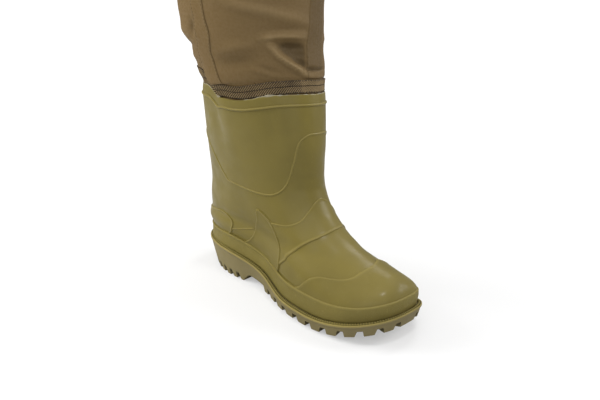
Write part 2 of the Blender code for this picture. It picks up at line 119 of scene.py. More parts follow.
COUNTER_TOP = (
    # share of the way from the heel's back to the plate's front edge, upper row
    (0.00, 2.66), (0.30, 2.70), (0.50, 2.80), (0.70, 3.02), (0.85, 3.24), (0.94, 3.30), (1.00, 3.16),
)
COUNTER_EDGE = (
    # row, angle of the plate's front edge
    (1.07, 130.3), (1.60, 125.8), (2.36, 121.4), (2.80, 120.6), (3.20, 122.6),
)
SHAFT_RIB = (
    # angle, row, from the shin round the outer side to the back
    (0.0, 9.57), (10.0, 9.56), (20.0, 9.34), (25.0, 8.98), (28.0, 8.45), (33.5, 7.64), (39.0, 7.07),
    (47.0, 6.64), (57.0, 6.37), (69.0, 6.31), (83.0, 6.39), (96.0, 6.49), (102.4, 6.55), (104.6, 6.60),
    (105.5, 6.74), (108.5, 7.12), (112.5, 7.62), (118.5, 8.10), (126.0, 8.50), (140.0, 8.95), (160.0, 9.18),
    (180.0, 9.25),
)
SIDE_RIB = ((126.0, 1.70), (118.0, 2.22), (105.6, 2.92))
COLLAR_BEAD_ROW = 11.0

# Soft lines: three points of a bent line as angle and height, half width, share of it on the lower side, height
BOOT_CREASES = (
    (104, 216, 102, 185, 100, 150, 9.0, 1.0, -2.2), (89, 212, 88, 188, 86, 160, 10.0, 1.0, 0.9),
    (47, 208, 45, 194, 45, 174, 6.0, 1.0, -1.3), (-100, 214, -97, 185, -94, 158, 10.0, 1.0, -1.6),
    (-60, 208, -63, 190, -66, 172, 9.0, 1.0, -0.8), (168, 208, 172, 180, 176, 150, 9.0, 1.0, -0.9),
    (34, 122, 0, 127, -36, 121, 4.5, 1.0, -0.5), (30, 134, 0, 139, -30, 134, 5.0, 1.0, -0.35),
)
LEG_FOLDS = (
    (72, 306, 40, 299, -3, 293, 6.2, 1.0, 2.5), (38, 281, 22, 285.5, -14, 284.5, 4.0, 0.9, -1.3),
    (42, 272, 27, 278, 0, 277, 4.2, 0.6, 2.6), (28, 268, 16, 268, 0, 268, 4.6, 0.8, -4.2),
    (27, 263, 14, 262, 0, 260, 5.0, 0.9, -4.2), (18, 256, 9, 254, 0, 249, 4.2, 0.9, -4.0),
    (35, 273, 36, 246, -24, 234, 4.0, 0.5, 4.2), (48, 247, 38, 243, 26, 239, 3.2, 1.0, -1.2),
    (54, 242, 45, 240, 36, 237, 3.0, 0.5, 1.2), (90, 245, 68, 250, 44, 256, 7.5, 1.0, -1.8),
    (84, 254, 62, 262, 42, 268, 7.0, 0.8, 1.5), (8, 247.6, -8, 246.6, -32, 247, 1.9, 0.5, -2.2),
    (12, 241.0, -10, 240.2, -34, 241.0, 3.2, 0.9, 4.0), (99, 286, 102, 278, 108, 268, 3.6, 1.0, -2.2),
    (116, 274, 138, 272, 162, 274, 8.0, 1.0, 3.0), (114, 260, 136, 257, 160, 258, 3.5, 0.8, -1.6),
    (116, 249, 138, 246, 164, 247, 5.0, 0.8, 1.6), (150, 312, 166, 300, 180, 284, 8.0, 0.8, 1.6),
    (172, 258, 192, 262, 214, 256, 6.5, 0.6, 2.4), (190, 290, 206, 280, 222, 264, 8.0, 0.9, -2.2),
    (206, 300, 226, 292, 250, 290, 9.0, 0.9, 1.9), (228, 272, 246, 268, 266, 272, 5.5, 0.6, 2.6),
    (236, 262, 250, 258, 268, 260, 6.5, 0.9, -2.6), (262, 250, 282, 246, 300, 252, 5.5, 0.6, 1.6),
    (276, 296, 300, 292, 316, 298, 9.0, 1.0, 1.4), (290, 280, 308, 274, 322, 276, 6.0, 0.6, 1.4),
    (296, 268, 312, 262, 324, 264, 7.0, 0.9, -1.6), (20, 336, 60, 330, 110, 340, 14.0, 1.0, 1.8),
    (150, 344, 200, 332, 240, 338, 14.0, 1.0, 1.8), (262, 332, 300, 342, 344, 330, 14.0, 1.0, 1.6),
)
# Height, angle of the side seam's front edge, angle of its rear edge, angle of the front seam
LEG_SEAMS = (
    (196.0, 83.0, 106.0, 5.0), (227.0, 83.0, 105.0, 5.0), (235.0, 86.0, 106.5, 5.0), (242.0, 88.0, 108.5, 5.0),
    (254.0, 88.0, 106.0, 3.5), (264.0, 84.5, 101.5, 2.0), (272.0, 82.4, 99.0, 1.0), (285.0, 82.4, 96.3, -1.5),
    (302.0, 83.0, 95.8, -2.7), (330.0, 83.0, 95.5, -3.5), (372.0, 82.5, 95.0, -4.0),
)
# Angle, how far the loose fabric hangs over the tape's upper edge
BLOUSE = (
    (-180.0, 4.0), (-140.0, 2.0), (-90.0, 4.5), (-50.0, 3.0), (-28.0, 3.5), (-8.0, 4.0), (10.0, 3.6),
    (20.0, 1.4), (50.0, 0.6), (72.0, 1.0), (82.0, 4.0), (90.0, 6.5), (98.0, 7.0), (104.0, 6.0), (108.0, 4.0),
    (112.0, 1.5), (116.0, 0.5), (140.0, 2.0), (160.0, 4.5), (180.0, 4.0),
)
TAPE_ROWS = ((0.97, 1.50), (1.535, 2.13))
# Radii that turn angles on the shaft and on the leg into lengths
SHAFT_RADIUS, FOLD_RADIUS, SEAM_RADIUS, MARK_RADIUS, PANEL_RADIUS = 62.0, 66.0, 68.0, 69.0, 70.0
LEG_WALL, LEG_GIRTH = 0.9, 450.0
FLEX_LINES = ((196.0, 5.0, 1.0), (216.0, 5.5, 0.7))  # place along the foot, half width, share of the depth
FLEX_DEPTH, FLEX_BOW = 0.35, 0.004
EDGE_INSET, EDGE_HEEL_INSET = 2.9, 15.5
PLATE_ROOT, CAP_TURN, PLATE_EXTRA = 0.7, 95.0, 0.6
HEEL_FLAT, BALL_FLAT, TOE_FROM = 60.0, 180.0, 210.0  # ends of the ledge's slope, start of its rise at the toe
PAD_INSET, CHANNEL_DEEP, NOTCH_FULL = 19.5, 4.5, 5.0
INSOLE_ROW, COLLAR_ROW = 0.12, 12.0
SEAM_PITCH, TAPE_PITCH, TWILL_SLANT, YARN_STEPS = 3.4, 3.3, 2.7, 8
EDGE_STEPS = np.array((0.0, 0.12, 0.3, 0.55, 0.85, 1.2, 1.6, 2.0, 2.5, 3.1, 3.9))
RAND = np.array((
    # height over the ledge, distance from the upper, share of wear and painted highlight on the top lip, share of
    # painted shade along the lower edge
    (0.30, 2.5, 0.0, 0.3), (0.9, 2.8, 0.0, 0.2), (1.8, 2.95, 0.0, 0.08), (3.2, 2.85, 0.0, 0.02),
    (6.0, 2.65, 0.0, 0.0), (10.0, 2.35, 0.0, 0.0), (13.0, 2.05, 0.0, 0.0), (14.0, 2.05, 0.1, 0.0),
    (14.8, 2.2, 0.5, 0.0), (15.5, 2.36, 0.9, 0.0), (16.2, 2.36, 1.0, 0.0), (16.7, 2.1, 0.9, 0.0),
    (17.05, 1.6, 0.5, 0.0), (17.15, 0.9, 0.1, 0.0), (17.0, -0.5, 0.0, 0.0), (9.0, -0.5, 0.0, 0.0),
    (0.3, -0.5, 0.0, 0.0),
))
PAD_RINGS = ((0.97, 0.38), (0.6, 0.38), (0.3, 0.38), (0.14, 0.0), (0.0, 0.0))  # share to the middle, groove
CHANNEL_RINGS = (
    # inset, share of the channel's depth, share of the notch's depth
    (18.3, 0.0, 0.0), (18.0, 0.08, 0.0), (17.75, 0.3, 0.0), (17.4, 0.92, 0.0), (17.0, 1.0, 0.0), (14.0, 1.0, 0.0),
    (13.6, 0.92, 0.3), (13.25, 0.3, 0.9), (13.0, 0.08, 1.0), (12.6, 0.0, 1.0), (9.0, 0.0, 1.0), (5.0, 0.0, 1.0),
    (2.2, 0.0, 1.0), (1.0, 0.0, 1.0), (0.5, 0.02, 1.0), (0.18, 0.06, 1.0),
)
WALL_SHARES = (0.0, 0.03, 0.08, 0.18, 0.36, 0.55, 0.75, 0.9, 0.97)
WELT_RINGS = (
    # inset, height over the ledge, share of wear and painted highlight
    (0.9, -3.3, 0.0), (0.5, -3.0, 0.0), (0.15, -2.4, 0.0), (0.0, -1.6, 0.1), (0.05, -0.7, 0.5), (0.35, 0.15, 1.0),
    (0.8, 0.45, 0.9), (1.2, 0.3, 0.4), (1.45, -0.1, 0.1), (1.6, -0.4, 0.0), (3.5, -0.4, 0.0), (8.0, -0.4, 0.0),
)
WALL_INSET, WALL_LIFT = WELT_RINGS[0][:2]
KNURL_RINGS = (
    # inset, height over the ledge, share of the wave
    (1.9, -0.6, 0.0), (2.05, 0.5, 0.4), (2.5, 1.35, 0.85), (3.3, 1.7, 0.9), (4.1, 1.4, 0.5), (4.5, -0.3, 0.0),
)
KNURL_WAVE = np.array((0.0, 0.15, 0.8, 1.0, 0.8, 0.15))
INSOLE_RINGS = ((2.7, 0.3), (2.5, 1.6), (2.9, 2.8), (4.0, 3.2), (9.0, 3.0), (18.0, 2.9))  # inset, height
SEALANT_BITS = ((46.0, 36.0, 10.0, -11.0, -22.0, -34.0), (3.2, 2.6, 1.8, 3.0, 3.5, 4.0))  # angles, half widths
RUBBERS = {
    # main colour, colour of worn and highlighted rims, roughness, pebbles a metre, grain depth in metres, coat, share
    # of wear and painted highlight, specks
    "olive_satin": ("olive", "olive_light", 0.42, 1300.0, 0.00006, 0.08, 0.30, 0.3),
    "olive_toe": ("olive", "olive_light", 0.62, 1300.0, 0.00006, 0.13, 0.30, 0.3),
    "rand_grain": ("rand", "olive_light", 0.56, 900.0, 0.00075, 0.0, 0.25, 1.2),
    "sole_matt": ("sole", "welt", 0.58, 800.0, 0.00012, 0.0, 0.85, 0.3),
}
LIGHTS = (
    # name, place, aim, width, height in metres, whether it is mirrored
    ("key", (0.36, -0.05, 1.02), (0.12, 0.0, 0.05), 0.12, 0.09, True),
    ("back", (-0.19, 0.78, 1.13), (0.08, 0.0, 0.07), 0.35, 0.46, True),
    ("right", (0.74, 0.96, 0.80), (0.04, 0.0, 0.1), 0.55, 0.5, True),
    ("fill", (1.0, -1.25, 0.9), (0.0, 0.0, 0.12), 2.4, 1.6, True),
    ("side", (-0.75, -0.55, 0.55), (-0.35, -0.25, 0.0), 0.6, 0.6, False),
)
CAMERA_AT, AZIMUTH, ELEVATION = (572.3, -419.3, 299.0), math.radians(38.30), math.radians(17.43)
SENSOR_WIDE = 36.0
MIX_FACTOR, MIX_FIRST, MIX_SECOND, MIX_RESULT = 0, 6, 7, 2  # the colour sockets of a mix node


def ease(x, low, high):
    """Smooth step from 0 at low to 1 at high: 3s squared minus 2s cubed."""
    s = np.clip((x - low) / (high - low), 0.0, 1.0)
    return s * s * (3.0 - 2.0 * s)


def bell(x, middle, wide):
    """Bell curve: 1 in the middle, 1/e at the half width."""
    return np.exp(-((x - middle) / wide)**2)


def wrapped(angle):
    """Angle in degrees between minus and plus half a turn."""
    return np.degrees(np.arctan2(np.sin(angle), np.cos(angle)))


def unit(v):
    """Vectors brought to length one."""
    return v / np.maximum(np.linalg.norm(v, axis=-1, keepdims=True), 1e-9)


def paired(t, angle):
    """Rows and angles as arrays of one shape."""
    return np.broadcast_arrays(np.asarray(t, float), np.asarray(angle, float))


def feather(x):
    """Height of the welt's ledge: a smooth step from heel to ball and a square rise at the toe."""
    toe = np.clip((x - TOE_FROM) / (LENGTH - TOE_FROM), 0.0, None)
    return HEEL_TOP + (BALL_TOP - HEEL_TOP) * ease(x, HEEL_FLAT, BALL_FLAT) + TOE_RISE * toe**2


def on_ledge(points, lift):
    """Points set in place to a height over the welt's ledge."""
    points[..., 2] = feather(points[..., 0]) + lift
    return points


def blend(table, t):
    """Catmull-Rom value of a table's columns at the fractional row t."""
    rows = np.asarray(table, float)
    last = len(rows) - 1
    t = np.clip(np.asarray(t, float), 0.0, last - 1e-9)
    i = t.astype(int)
    u = (t - i)[..., None]
    p0, p1, p2, p3 = (rows[np.clip(i + k, 0, last)] for k in (-1, 0, 1, 2))
    m1 = (p2 - p0) / 2
    m2 = (p3 - p1) / 2
    start = (2 * u**3 - 3 * u**2 + 1) * p1 + (u**3 - 2 * u**2 + u) * m1
    return start + (3 * u**2 - 2 * u**3) * p2 + (u**3 - u**2) * m2


def column(table, key, at):
    """Smooth value of one column of a table at values of its first column."""
    rows = np.asarray(table, float)
    return blend(rows, np.interp(at, rows[:, 0], np.arange(len(rows))))[..., key]


def section(row, angle):
    """Superellipse outline of one row, pinched at the waist and bent to the inner side at the toe."""
    r = {name: row[..., k] for k, name in enumerate(ROW)}
    c = np.cos(angle)
    s = np.sin(angle)
    n = np.where(c >= 0, r["n_front"], r["n_back"])
    reach = (np.abs(c)**n + np.abs(s)**n)**(-1.0 / n)
    x = r["x_wide"] + c * reach * np.where(c >= 0, r["x_front"] - r["x_wide"], r["x_wide"] - r["x_back"])
    side = np.abs(s) * reach
    pinch = np.where(s >= 0, WAIST_OUTER, WAIST_INNER) * r["waist"] * bell(x, WAIST_AT, WAIST_LONG)
    y = -np.sign(s) * (r["half"] * side - pinch * np.minimum(1.0, 1.6 * side))
    y = y + r["bias"] * np.clip((x - r["x_wide"]) / (r["x_front"] - r["x_wide"]), 0.0, 1.0)**2
    along = (x - r["x_back"]) / (r["x_front"] - r["x_back"])
    chord = feather(r["x_back"]) + (feather(r["x_front"]) - feather(r["x_back"])) * along
    z = r["z_back"] + (r["z_front"] - r["z_back"]) * along + r["follow"] * (feather(x) - chord)
    return np.stack([x, y, z], -1)


def collar_dip(angle):
    """Sink of the worn collar on the outer side, a sum of bells."""
    return sum(deep * bell(wrapped(angle), at, wide) for at, wide, deep in COLLAR_DIPS)


def upper_point(t, angle):
    """Smooth last of the boot at row t and angle, the angle running from the toe to the outer side."""
    t, angle = paired(t, angle)
    p = section(blend(UPPER, t), angle)
    p[..., 2] -= collar_dip(angle) * ease(t, 8.0, 11.5)
    return p


def leg_point(t, angle):
    """Plain elliptical tube of the fabric leg at row t and angle."""
    t, angle = paired(t, angle)
    row = blend(LEG, t)
    plain = np.broadcast_to((2.0, 2.0, 0.0, 0.0, 0.0), row.shape[:-1] + (5,))
    p = section(np.concatenate([row, plain], -1), angle)
    p[..., 2] -= collar_dip(angle) * (1.0 - ease(t, 2.0, 5.5))
    return p


def normal(face, t, angle):
    """Outward unit normal of a face: the cross product of small steps along both parameters."""
    step = 1e-3
    along_t = face(t + step, angle) - face(t - step, angle)
    return unit(np.cross(along_t, face(t, angle + step) - face(t, angle - step)))


def soft_lines(angle, z, table, radius):
    """Sum of soft ridges and troughs: each is a bell across a bent line that fades out at both ends."""
    total = np.zeros(np.broadcast(angle, z).shape)
    turn = np.degrees(angle)
    u = np.linspace(0.0, 1.0, 22)
    fade = np.sin(np.pi * np.clip(u, 0.06, 0.94))**0.7
    for a1, z1, a2, z2, a3, z3, wide, under, high in table:
        line_a = (1 - u)**2 * a1 + 2 * u * (1 - u) * a2 + u**2 * a3
        line_z = (1 - u)**2 * z1 + 2 * u * (1 - u) * z2 + u**2 * z3
        best = np.zeros(total.shape)
        for a, b, f in zip(line_a, line_z, fade):
            across = (turn - a + 180.0) % 360.0 - 180.0
            rise = z - b
            reach = np.where(rise < 0, wide * under, wide)
            far = (np.radians(across) * radius / wide)**2 + (rise / reach)**2
            best = np.maximum(best, f * np.exp(-far))
        total = total + high * best
    return total


def boot_face(t, angle):
    """The last moved along its normal by the shaft's creases and by two shallow flex lines over the ball."""
    t, angle = paired(t, angle)
    p = upper_point(t, angle)
    lift = soft_lines(angle, p[..., 2], BOOT_CREASES, SHAFT_RADIUS) * ease(t, 5.2, 6.6)
    bowed = p[..., 0] - FLEX_BOW * p[..., 1]**2
    flex = sum(share * bell(bowed, at, wide) for at, wide, share in FLEX_LINES)
    lift = lift - FLEX_DEPTH * flex * ease(t, 1.8, 2.6)
    return p + (settings().crease_depth * lift)[..., None] * normal(upper_point, t, angle)


def seam_at(z, key):
    """Angle in radians of one of the leg's seam lines at a height."""
    return np.radians(column(LEG_SEAMS, key, np.clip(z, LEG_SEAMS[0][0], LEG_SEAMS[-1][0])))


def leg_relief(t, angle):
    """Height of the leg's folds, calmer behind the front seam, and height of its seam layers and puckers."""
    z = leg_point(t, angle)[..., 2]
    turn = np.radians(wrapped(angle))
    folds = soft_lines(angle, z, LEG_FOLDS, FOLD_RADIUS) * ease(t, 2.5, 3.3)
    panel = (seam_at(z, 3) - turn) * PANEL_RADIUS
    beside = np.maximum(ease(-panel, -1.0, 3.0), ease(panel, 26.0, 50.0))
    folds = folds * (0.12 + 0.88 * np.maximum(beside, 1.0 - ease(z, 246.5, 251.0)))
    front = (turn - seam_at(z, 1)) * SEAM_RADIUS
    rear = (seam_at(z, 2) - turn) * SEAM_RADIUS
    strip = ease(front, -0.5, 0.7) * ease(rear, -0.5, 0.7)
    lap = ease(panel, -0.4, 0.8) * (1.0 - ease(panel, 15.0, 26.0))
    pucker = np.sin(z / 4.1 + 0.7 * np.sin(z / 9.0)) * bell(front, 0.0, 5.0)
    pucker = pucker + np.sin(z / 3.6 + 1.0) * bell(rear, 0.0, 5.0)
    pucker = pucker + 0.7 * np.sin(z / 4.6 + 2.0) * bell(panel, 0.0, 4.5)
    seams = (0.75 * strip + 0.85 * lap) * ease(t, 2.3, 2.9)
    return folds, seams + 0.28 * pucker * ease(t, 2.6, 3.4)


def leg_face(t, angle):
    """The leg's tube moved by its relief, standing out and hanging down a little over the tape."""
    t, angle = paired(t, angle)
    p = leg_point(t, angle)
    folds, seams = leg_relief(t, angle)
    hang = column(BLOUSE, 1, wrapped(angle))
    stand = (0.5 + 0.08 * hang) * ease(t, 2.1, 2.7) * (1.0 - ease(t, 3.2, 4.6))
    lift = settings().fold_depth * folds + seams + stand
    p = p + lift[..., None] * normal(leg_point, t, angle)
    p[..., 2] -= hang * bell(t, 2.75, 0.42)
    return p


def length_along(points, axis):
    """Running length of a grid of points along one of its axes."""
    step = np.linalg.norm(np.diff(points, axis=axis), axis=-1)
    start = np.zeros_like(np.take(step, [0], axis=axis))
    return np.concatenate([start, np.cumsum(step, axis=axis)], axis=axis)


def spread(count):
    """Angles that space points evenly along the foot's edge, once around from the toe."""
    fine = np.linspace(0.0, np.pi, 4001)
    run = length_along(section(blend(UPPER, np.full(4001, 1.0)), fine), 0)
    shaft = fine / np.pi * run[-1]
    half = np.interp(np.linspace(0.0, run[-1], count // 2 + 1), 0.6 * run + 0.4 * shaft, fine)
    return np.concatenate([half, 2 * np.pi - half[-2:0:-1]])


def even(points, pitch):
    """Places at an even pitch along a line of points, as fractional indices of it."""
    run = length_along(points, 0)
    count = max(2, int(run[-1] / pitch))
    return np.interp((np.arange(count) + 0.5) / count * run[-1], run, np.arange(len(points)))


def outline(inset, heel_inset, angle):
    """Sole outline drawn in by an inset, at height zero."""
    row = np.array((0.0, 0.0, heel_inset, LENGTH - inset, BALL_AT, BALL_HALF - inset,
                    FRONT_ROUND, BACK_ROUND, TOE_BIAS, 0.0, 1.0))
    p = section(np.broadcast_to(row, np.shape(angle) + row.shape), angle)
    p[..., 2] = 0.0
    return p


def sole_edge(angle):
    """Lower edge of the sole's side, drawn in furthest at the heel."""
    return outline(EDGE_INSET, EDGE_HEEL_INSET, angle)


def arch(x):
    """Height of the sole's underside: flat heel, quarter-sine breast, sloping arch, step to the forefoot."""
    breast = BREAST_HIGH * np.sin(np.pi / 2 * np.clip((x - BREAST_AT) / BREAST_LONG, 0.0, 1.0))
    rear = BREAST_AT + BREAST_LONG
    slope = (FOREFOOT_HIGH - BREAST_HIGH) * np.clip((x - rear) / (FOREFOOT_AT - rear), 0.0, 1.0)
    return (breast + slope) * (1.0 - np.clip((x - FOREFOOT_AT) / FOREFOOT_STEP, 0.0, 1.0))


def quads(rows, cols, close_rows=False, close_cols=False):
    """Faces of a grid of rows by columns, joined round where asked."""
    i = np.arange(rows if close_rows else rows - 1)[:, None]
    j = np.arange(cols if close_cols else cols - 1)[None, :]
    i2 = (i + 1) % rows
    j2 = (j + 1) % cols
    return np.stack([i * cols + j, i * cols + j2, i2 * cols + j2, i2 * cols + j], -1).reshape(-1, 4)


def end_caps(rows, cols):
    """Faces that close the first and the last row of a grid joined round its columns."""
    return np.arange(cols)[::-1], (rows - 1) * cols + np.arange(cols)


def quad_uv(u, v):
    """Corner coordinates of a grid's faces from the unwrapped coordinates of its rows and columns."""
    grid = np.stack(np.broadcast_arrays(u[:, None], v[None, :]), -1)
    return np.stack([grid[:-1, :-1], grid[:-1, 1:], grid[1:, 1:], grid[1:, :-1]], -2).reshape(-1, 4, 2)


def settings():
    """The sizes that a user may change."""
    return bpy.context.scene.wader_sizes


def colours():
    """The colours that a user may change."""
    return bpy.context.scene.wader_colours


def link(name, data):
    """New object in the scene."""
    thing = bpy.data.objects.new(name, data)
    bpy.context.scene.collection.objects.link(thing)
    return thing


def piece(name, points, materials, stands_for=(), marks=None, faces=None, close=(True, True), uv=None,
          index=None, caps=()):
    """Put one closed surface into the scene in metres, faces outward, riding on the one body."""
    grid = np.shape(points)[:-1]
    faces = quads(*grid, *close) if faces is None else faces
    points = np.asarray(points, float).reshape(-1, 3)
    a, b, c, d = (points[faces[:, k]] for k in range(4))
    volume = np.sum(np.cross(a, b) * c) + np.sum(np.cross(a, c) * d)
    flip = -1 if volume < 0 else 1
    mesh = bpy.data.meshes.new(name)
    metres = (points - (X_CENTRE, 0.0, 0.0)) / 1000.0
    polygons = faces[:, ::flip].tolist() + [list(cap)[::flip] for cap in caps]
    mesh.from_pydata(metres.tolist(), [], polygons)
    for material in materials:
        mesh.materials.append(material)
    if index is not None:
        mesh.polygons.foreach_set("material_index", np.asarray(index, np.int32))
    for key, values in (marks or {}).items():
        layer = mesh.attributes.new(key, "FLOAT", "POINT")
        layer.data.foreach_set("value", np.broadcast_to(np.asarray(values, np.float32), grid).ravel())
    if uv is not None:
        layer = mesh.uv_layers.new(name="cloth")
        flat = np.zeros((len(mesh.loops), 2), np.float32)
        flat[:uv.shape[0] * 4] = uv[:, ::flip].reshape(-1, 2)
        layer.data.foreach_set("uv", flat.ravel())
    mesh.polygons.foreach_set("use_smooth", np.ones(len(mesh.polygons), bool))
    mesh.update()
    if mesh.validate():
        raise RuntimeError(name + " has faulty faces")
    thing = link(name, mesh)
    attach(thing, "root")
    if stands_for:
        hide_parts(*stands_for)
    return thing


# Shader nodes


def feed(tree, made, inputs):
    """Give a node's inputs, by name or number, a socket to follow, a number or a colour."""
    for key, value in inputs.items():
        socket = made.inputs[key]
        if isinstance(value, bpy.types.NodeSocket):
            tree.links.new(value, socket)
        else:
            socket.default_value = (*value, 1.0) if socket.type == "RGBA" else value


def node(tree, kind, inputs=None, **options):
    """Outputs of a new shader node with its options and inputs set."""
    made = tree.nodes.new("ShaderNode" + kind)
    for key, value in options.items():
        setattr(made, key, value)
    feed(tree, made, inputs or {})
    return made.outputs


def noise(tree, vector, scale, detail=2.0, rough=0.5):
    """Noise on a vector."""
    return node(tree, "TexNoise", {"Vector": vector, "Scale": scale, "Detail": detail, "Roughness": rough})["Fac"]


def math_node(tree, kind, first, second=0.0, third=0.0):
    """Math on sockets or numbers."""
    return node(tree, "Math", {0: first, 1: second, 2: third}, operation=kind)["Value"]


def remap(tree, value, low, high, to_low, to_high):
    """Smooth map of a value from one range to another."""
    ranges = {"Value": value, "From Min": low, "From Max": high, "To Min": to_low, "To Max": to_high}
    return node(tree, "MapRange", ranges, interpolation_type="SMOOTHSTEP")["Result"]


def mix(tree, factor, first, second):
    """Colour mix of two sockets or colours by a factor."""
    made = tree.nodes.new("ShaderNodeMix")
    made.data_type = "RGBA"
    feed(tree, made, {MIX_FACTOR: factor, MIX_FIRST: first, MIX_SECOND: second})
    return made.outputs[MIX_RESULT]


def attribute(tree, name):
    """Value of a surface's own attribute."""
    return node(tree, "Attribute", attribute_name=name)["Fac"]


def place(tree):
    """Object coordinates."""
    return node(tree, "TexCoord")["Object"]


def bump(tree, height, strength, distance):
    """Normal bumped by a height, at a distance in metres."""
    return node(tree, "Bump", {"Height": height, "Strength": strength, "Distance": distance})["Normal"]


# Shader groups, built once and shared by the materials


def group(name, inputs, outputs):
    """Empty shader group with named sockets: default of each input, kind of each output."""
    tree = bpy.data.node_groups.new(name, "ShaderNodeTree")
    for key, value in inputs.items():
        kind = "NodeSocketFloat" if isinstance(value, float) else "NodeSocketColor"
        tree.interface.new_socket(key, in_out="INPUT", socket_type=kind).default_value = value
    for key, kind in outputs.items():
        tree.interface.new_socket(key, in_out="OUTPUT", socket_type="NodeSocket" + kind)
    return tree, tree.nodes.new("NodeGroupInput").outputs, tree.nodes.new("NodeGroupOutput")


def uneven_tone():
    """Uneven tone: a colour drifts to a second one in soft clouds and to a third in fine specks."""
    tree, enter, leave = group(
        "uneven_tone",
        {"Main": (0.2, 0.15, 0.05, 1.0), "Drift": (0.15, 0.1, 0.03, 1.0), "Speck": (0.3, 0.25, 0.1, 1.0),
         "Cloud": 22.0},
        {"Color": "Color", "Mask": "Float"})
    at = place(tree)
    shade = remap(tree, noise(tree, at, enter["Cloud"], 3.0), 0.36, 0.66, 0.0, 1.0)
    speck = remap(tree, noise(tree, at, 420.0), 0.60, 0.78, 0.0, 0.30)
    soft = mix(tree, shade, enter["Main"], enter["Drift"])
    feed(tree, leave, {"Color": mix(tree, speck, soft, enter["Speck"]), "Mask": shade})
    return tree


def moulded_grain():
    """Moulded grain: fine pebbles over a slow unevenness of the skin, as a height, with a gloss mask."""
    tree, enter, leave = group(
        "moulded_grain", {"Pebble": 900.0, "Swell": 70.0}, {"Height": "Float", "Gloss": "Float"})
    at = place(tree)
    pebble = noise(tree, at, enter["Pebble"], 2.0, 0.6)
    swell = noise(tree, at, enter["Swell"])
    feed(tree, leave, {"Height": math_node(tree, "MULTIPLY_ADD", swell, 1.6, pebble),
                       "Gloss": remap(tree, swell, 0.35, 0.65, 0.0, 1.0)})
    return tree


def plain_weave():
    """Plain weave from the cloth's own coordinates in millimetres: two crossed waves, as height and tone."""
    tree, enter, leave = group("plain_weave", {"Pitch": 0.7}, {"Height": "Float", "Tone": "Float"})
    uv = node(tree, "UVMap", uv_map="cloth")["UV"]
    split = node(tree, "SeparateXYZ", {"Vector": uv})
    waves = []
    for axis in ("X", "Y"):
        turns = math_node(tree, "DIVIDE", split[axis], enter["Pitch"])
        waves.append(math_node(tree, "SINE", math_node(tree, "MULTIPLY", turns, 2 * math.pi)))
    slub = noise(tree, uv, 0.35, 4.0, 0.6)
    feed(tree, leave, {"Height": math_node(tree, "MULTIPLY", *waves),
                       "Tone": remap(tree, slub, 0.38, 0.64, 0.0, 1.0)})
    return tree


def use_group(tree, maker, **values):
    """Place a shared group, made the first time, in a material with its own values."""
    shared = bpy.data.node_groups.get(maker.__name__) or maker()
    made = tree.nodes.new("ShaderNodeGroup")
    made.node_tree = shared
    feed(tree, made, values)
    return made.outputs


# Materials


def scaled(colour, by):
    """A colour made darker or lighter."""
    return tuple(by * value for value in colour)


def fresh(name):
    """New material with its tree and shader."""
    material = bpy.data.materials.new(name)
    material.use_nodes = True
    return material, material.node_tree, material.node_tree.nodes["Principled BSDF"]


def rubber(name):
    """Moulded rubber: uneven tone, rims paler from wear and a painted highlight, painted shade in hollows, fine grain
    and a gloss that varies a little.
    """
    found = bpy.data.materials.get(name)
    if found:
        return found
    material, tree, shader = fresh(name)
    main, light, rough, pebble, depth, coat, wear_and_highlight, fleck = RUBBERS[name]
    main, light = getattr(colours(), main), getattr(colours(), light)
    speck = tuple(m + fleck * (p - m) for m, p in zip(main, light))
    tone = use_group(tree, uneven_tone, Main=main, Drift=scaled(main, 0.88), Speck=speck, Cloud=18.0)
    grain = use_group(tree, moulded_grain, Pebble=pebble, Swell=60.0)
    # Rims, lips, ribs and edges go paler: wear and a painted highlight together
    rim = math_node(tree, "MULTIPLY", attribute(tree, "rim"), wear_and_highlight)
    highlighted = mix(tree, rim, tone["Color"], light)
    # Painted shade: notches, grooves and gaps are darkened towards a dark copy of the rubber
    feed(tree, shader, {
        "Base Color": mix(tree, attribute(tree, "soil"), highlighted, scaled(main, 0.22)),
        "Roughness": remap(tree, grain["Gloss"], 0.0, 1.0, rough - 0.05, rough + 0.06),
        "Normal": bump(tree, grain["Height"], 0.5, depth),
        "Specular IOR Level": 0.24, "Coat Weight": coat, "Coat Roughness": 0.19})
    return material


def cloth(name, main, dark, light):
    """Coated cloth: woven height, slubby tone, painted highlight on fold crowns, painted shade in the troughs and on
    the lapped panel, seams with a painted highlight beside them and a painted shade line in them.
    """
    material, tree, shader = fresh(name)
    weave = use_group(tree, plain_weave, Pitch=0.7)
    base = mix(tree, weave["Tone"], main, scaled(main, 0.94))
    fold = attribute(tree, "fold")
    # Painted highlight on the crowns of the folds
    highlighted = mix(tree, remap(tree, fold, 0.2, 3.0, 0.0, 0.65), base, light)
    # Painted shade in the troughs of the folds
    fold_shaded = mix(tree, remap(tree, fold, -0.3, -3.4, 0.0, 0.8), highlighted, dark)
    # Painted shade on the lapped panel
    done = mix(tree, math_node(tree, "MULTIPLY", attribute(tree, "shade"), 0.45), fold_shaded, dark)
    # Seams: a painted highlight on the crown beside each seam and a painted shade line in it
    for seam, side, strong in (("front", 1.0, 0.75), ("rear", -1.0, 0.65), ("panel", -1.0, 0.4)):
        apart = attribute(tree, seam)
        crown = math_node(tree, "ABSOLUTE", math_node(tree, "SUBTRACT", apart, 1.9 * side))
        done = mix(tree, remap(tree, crown, 0.2, 1.5, 0.45 * strong, 0.0), done, light)
        shade_line = math_node(tree, "ABSOLUTE", math_node(tree, "SUBTRACT", apart, 0.2 * side))
        done = mix(tree, remap(tree, shade_line, 0.15, 0.85, strong, 0.0), done, dark)
    feed(tree, shader, {
        "Base Color": done, "Roughness": remap(tree, weave["Tone"], 0.0, 1.0, 0.62, 0.74),
        "Normal": bump(tree, weave["Height"], 0.25, 0.00012), "Specular IOR Level": 0.28})
    return material


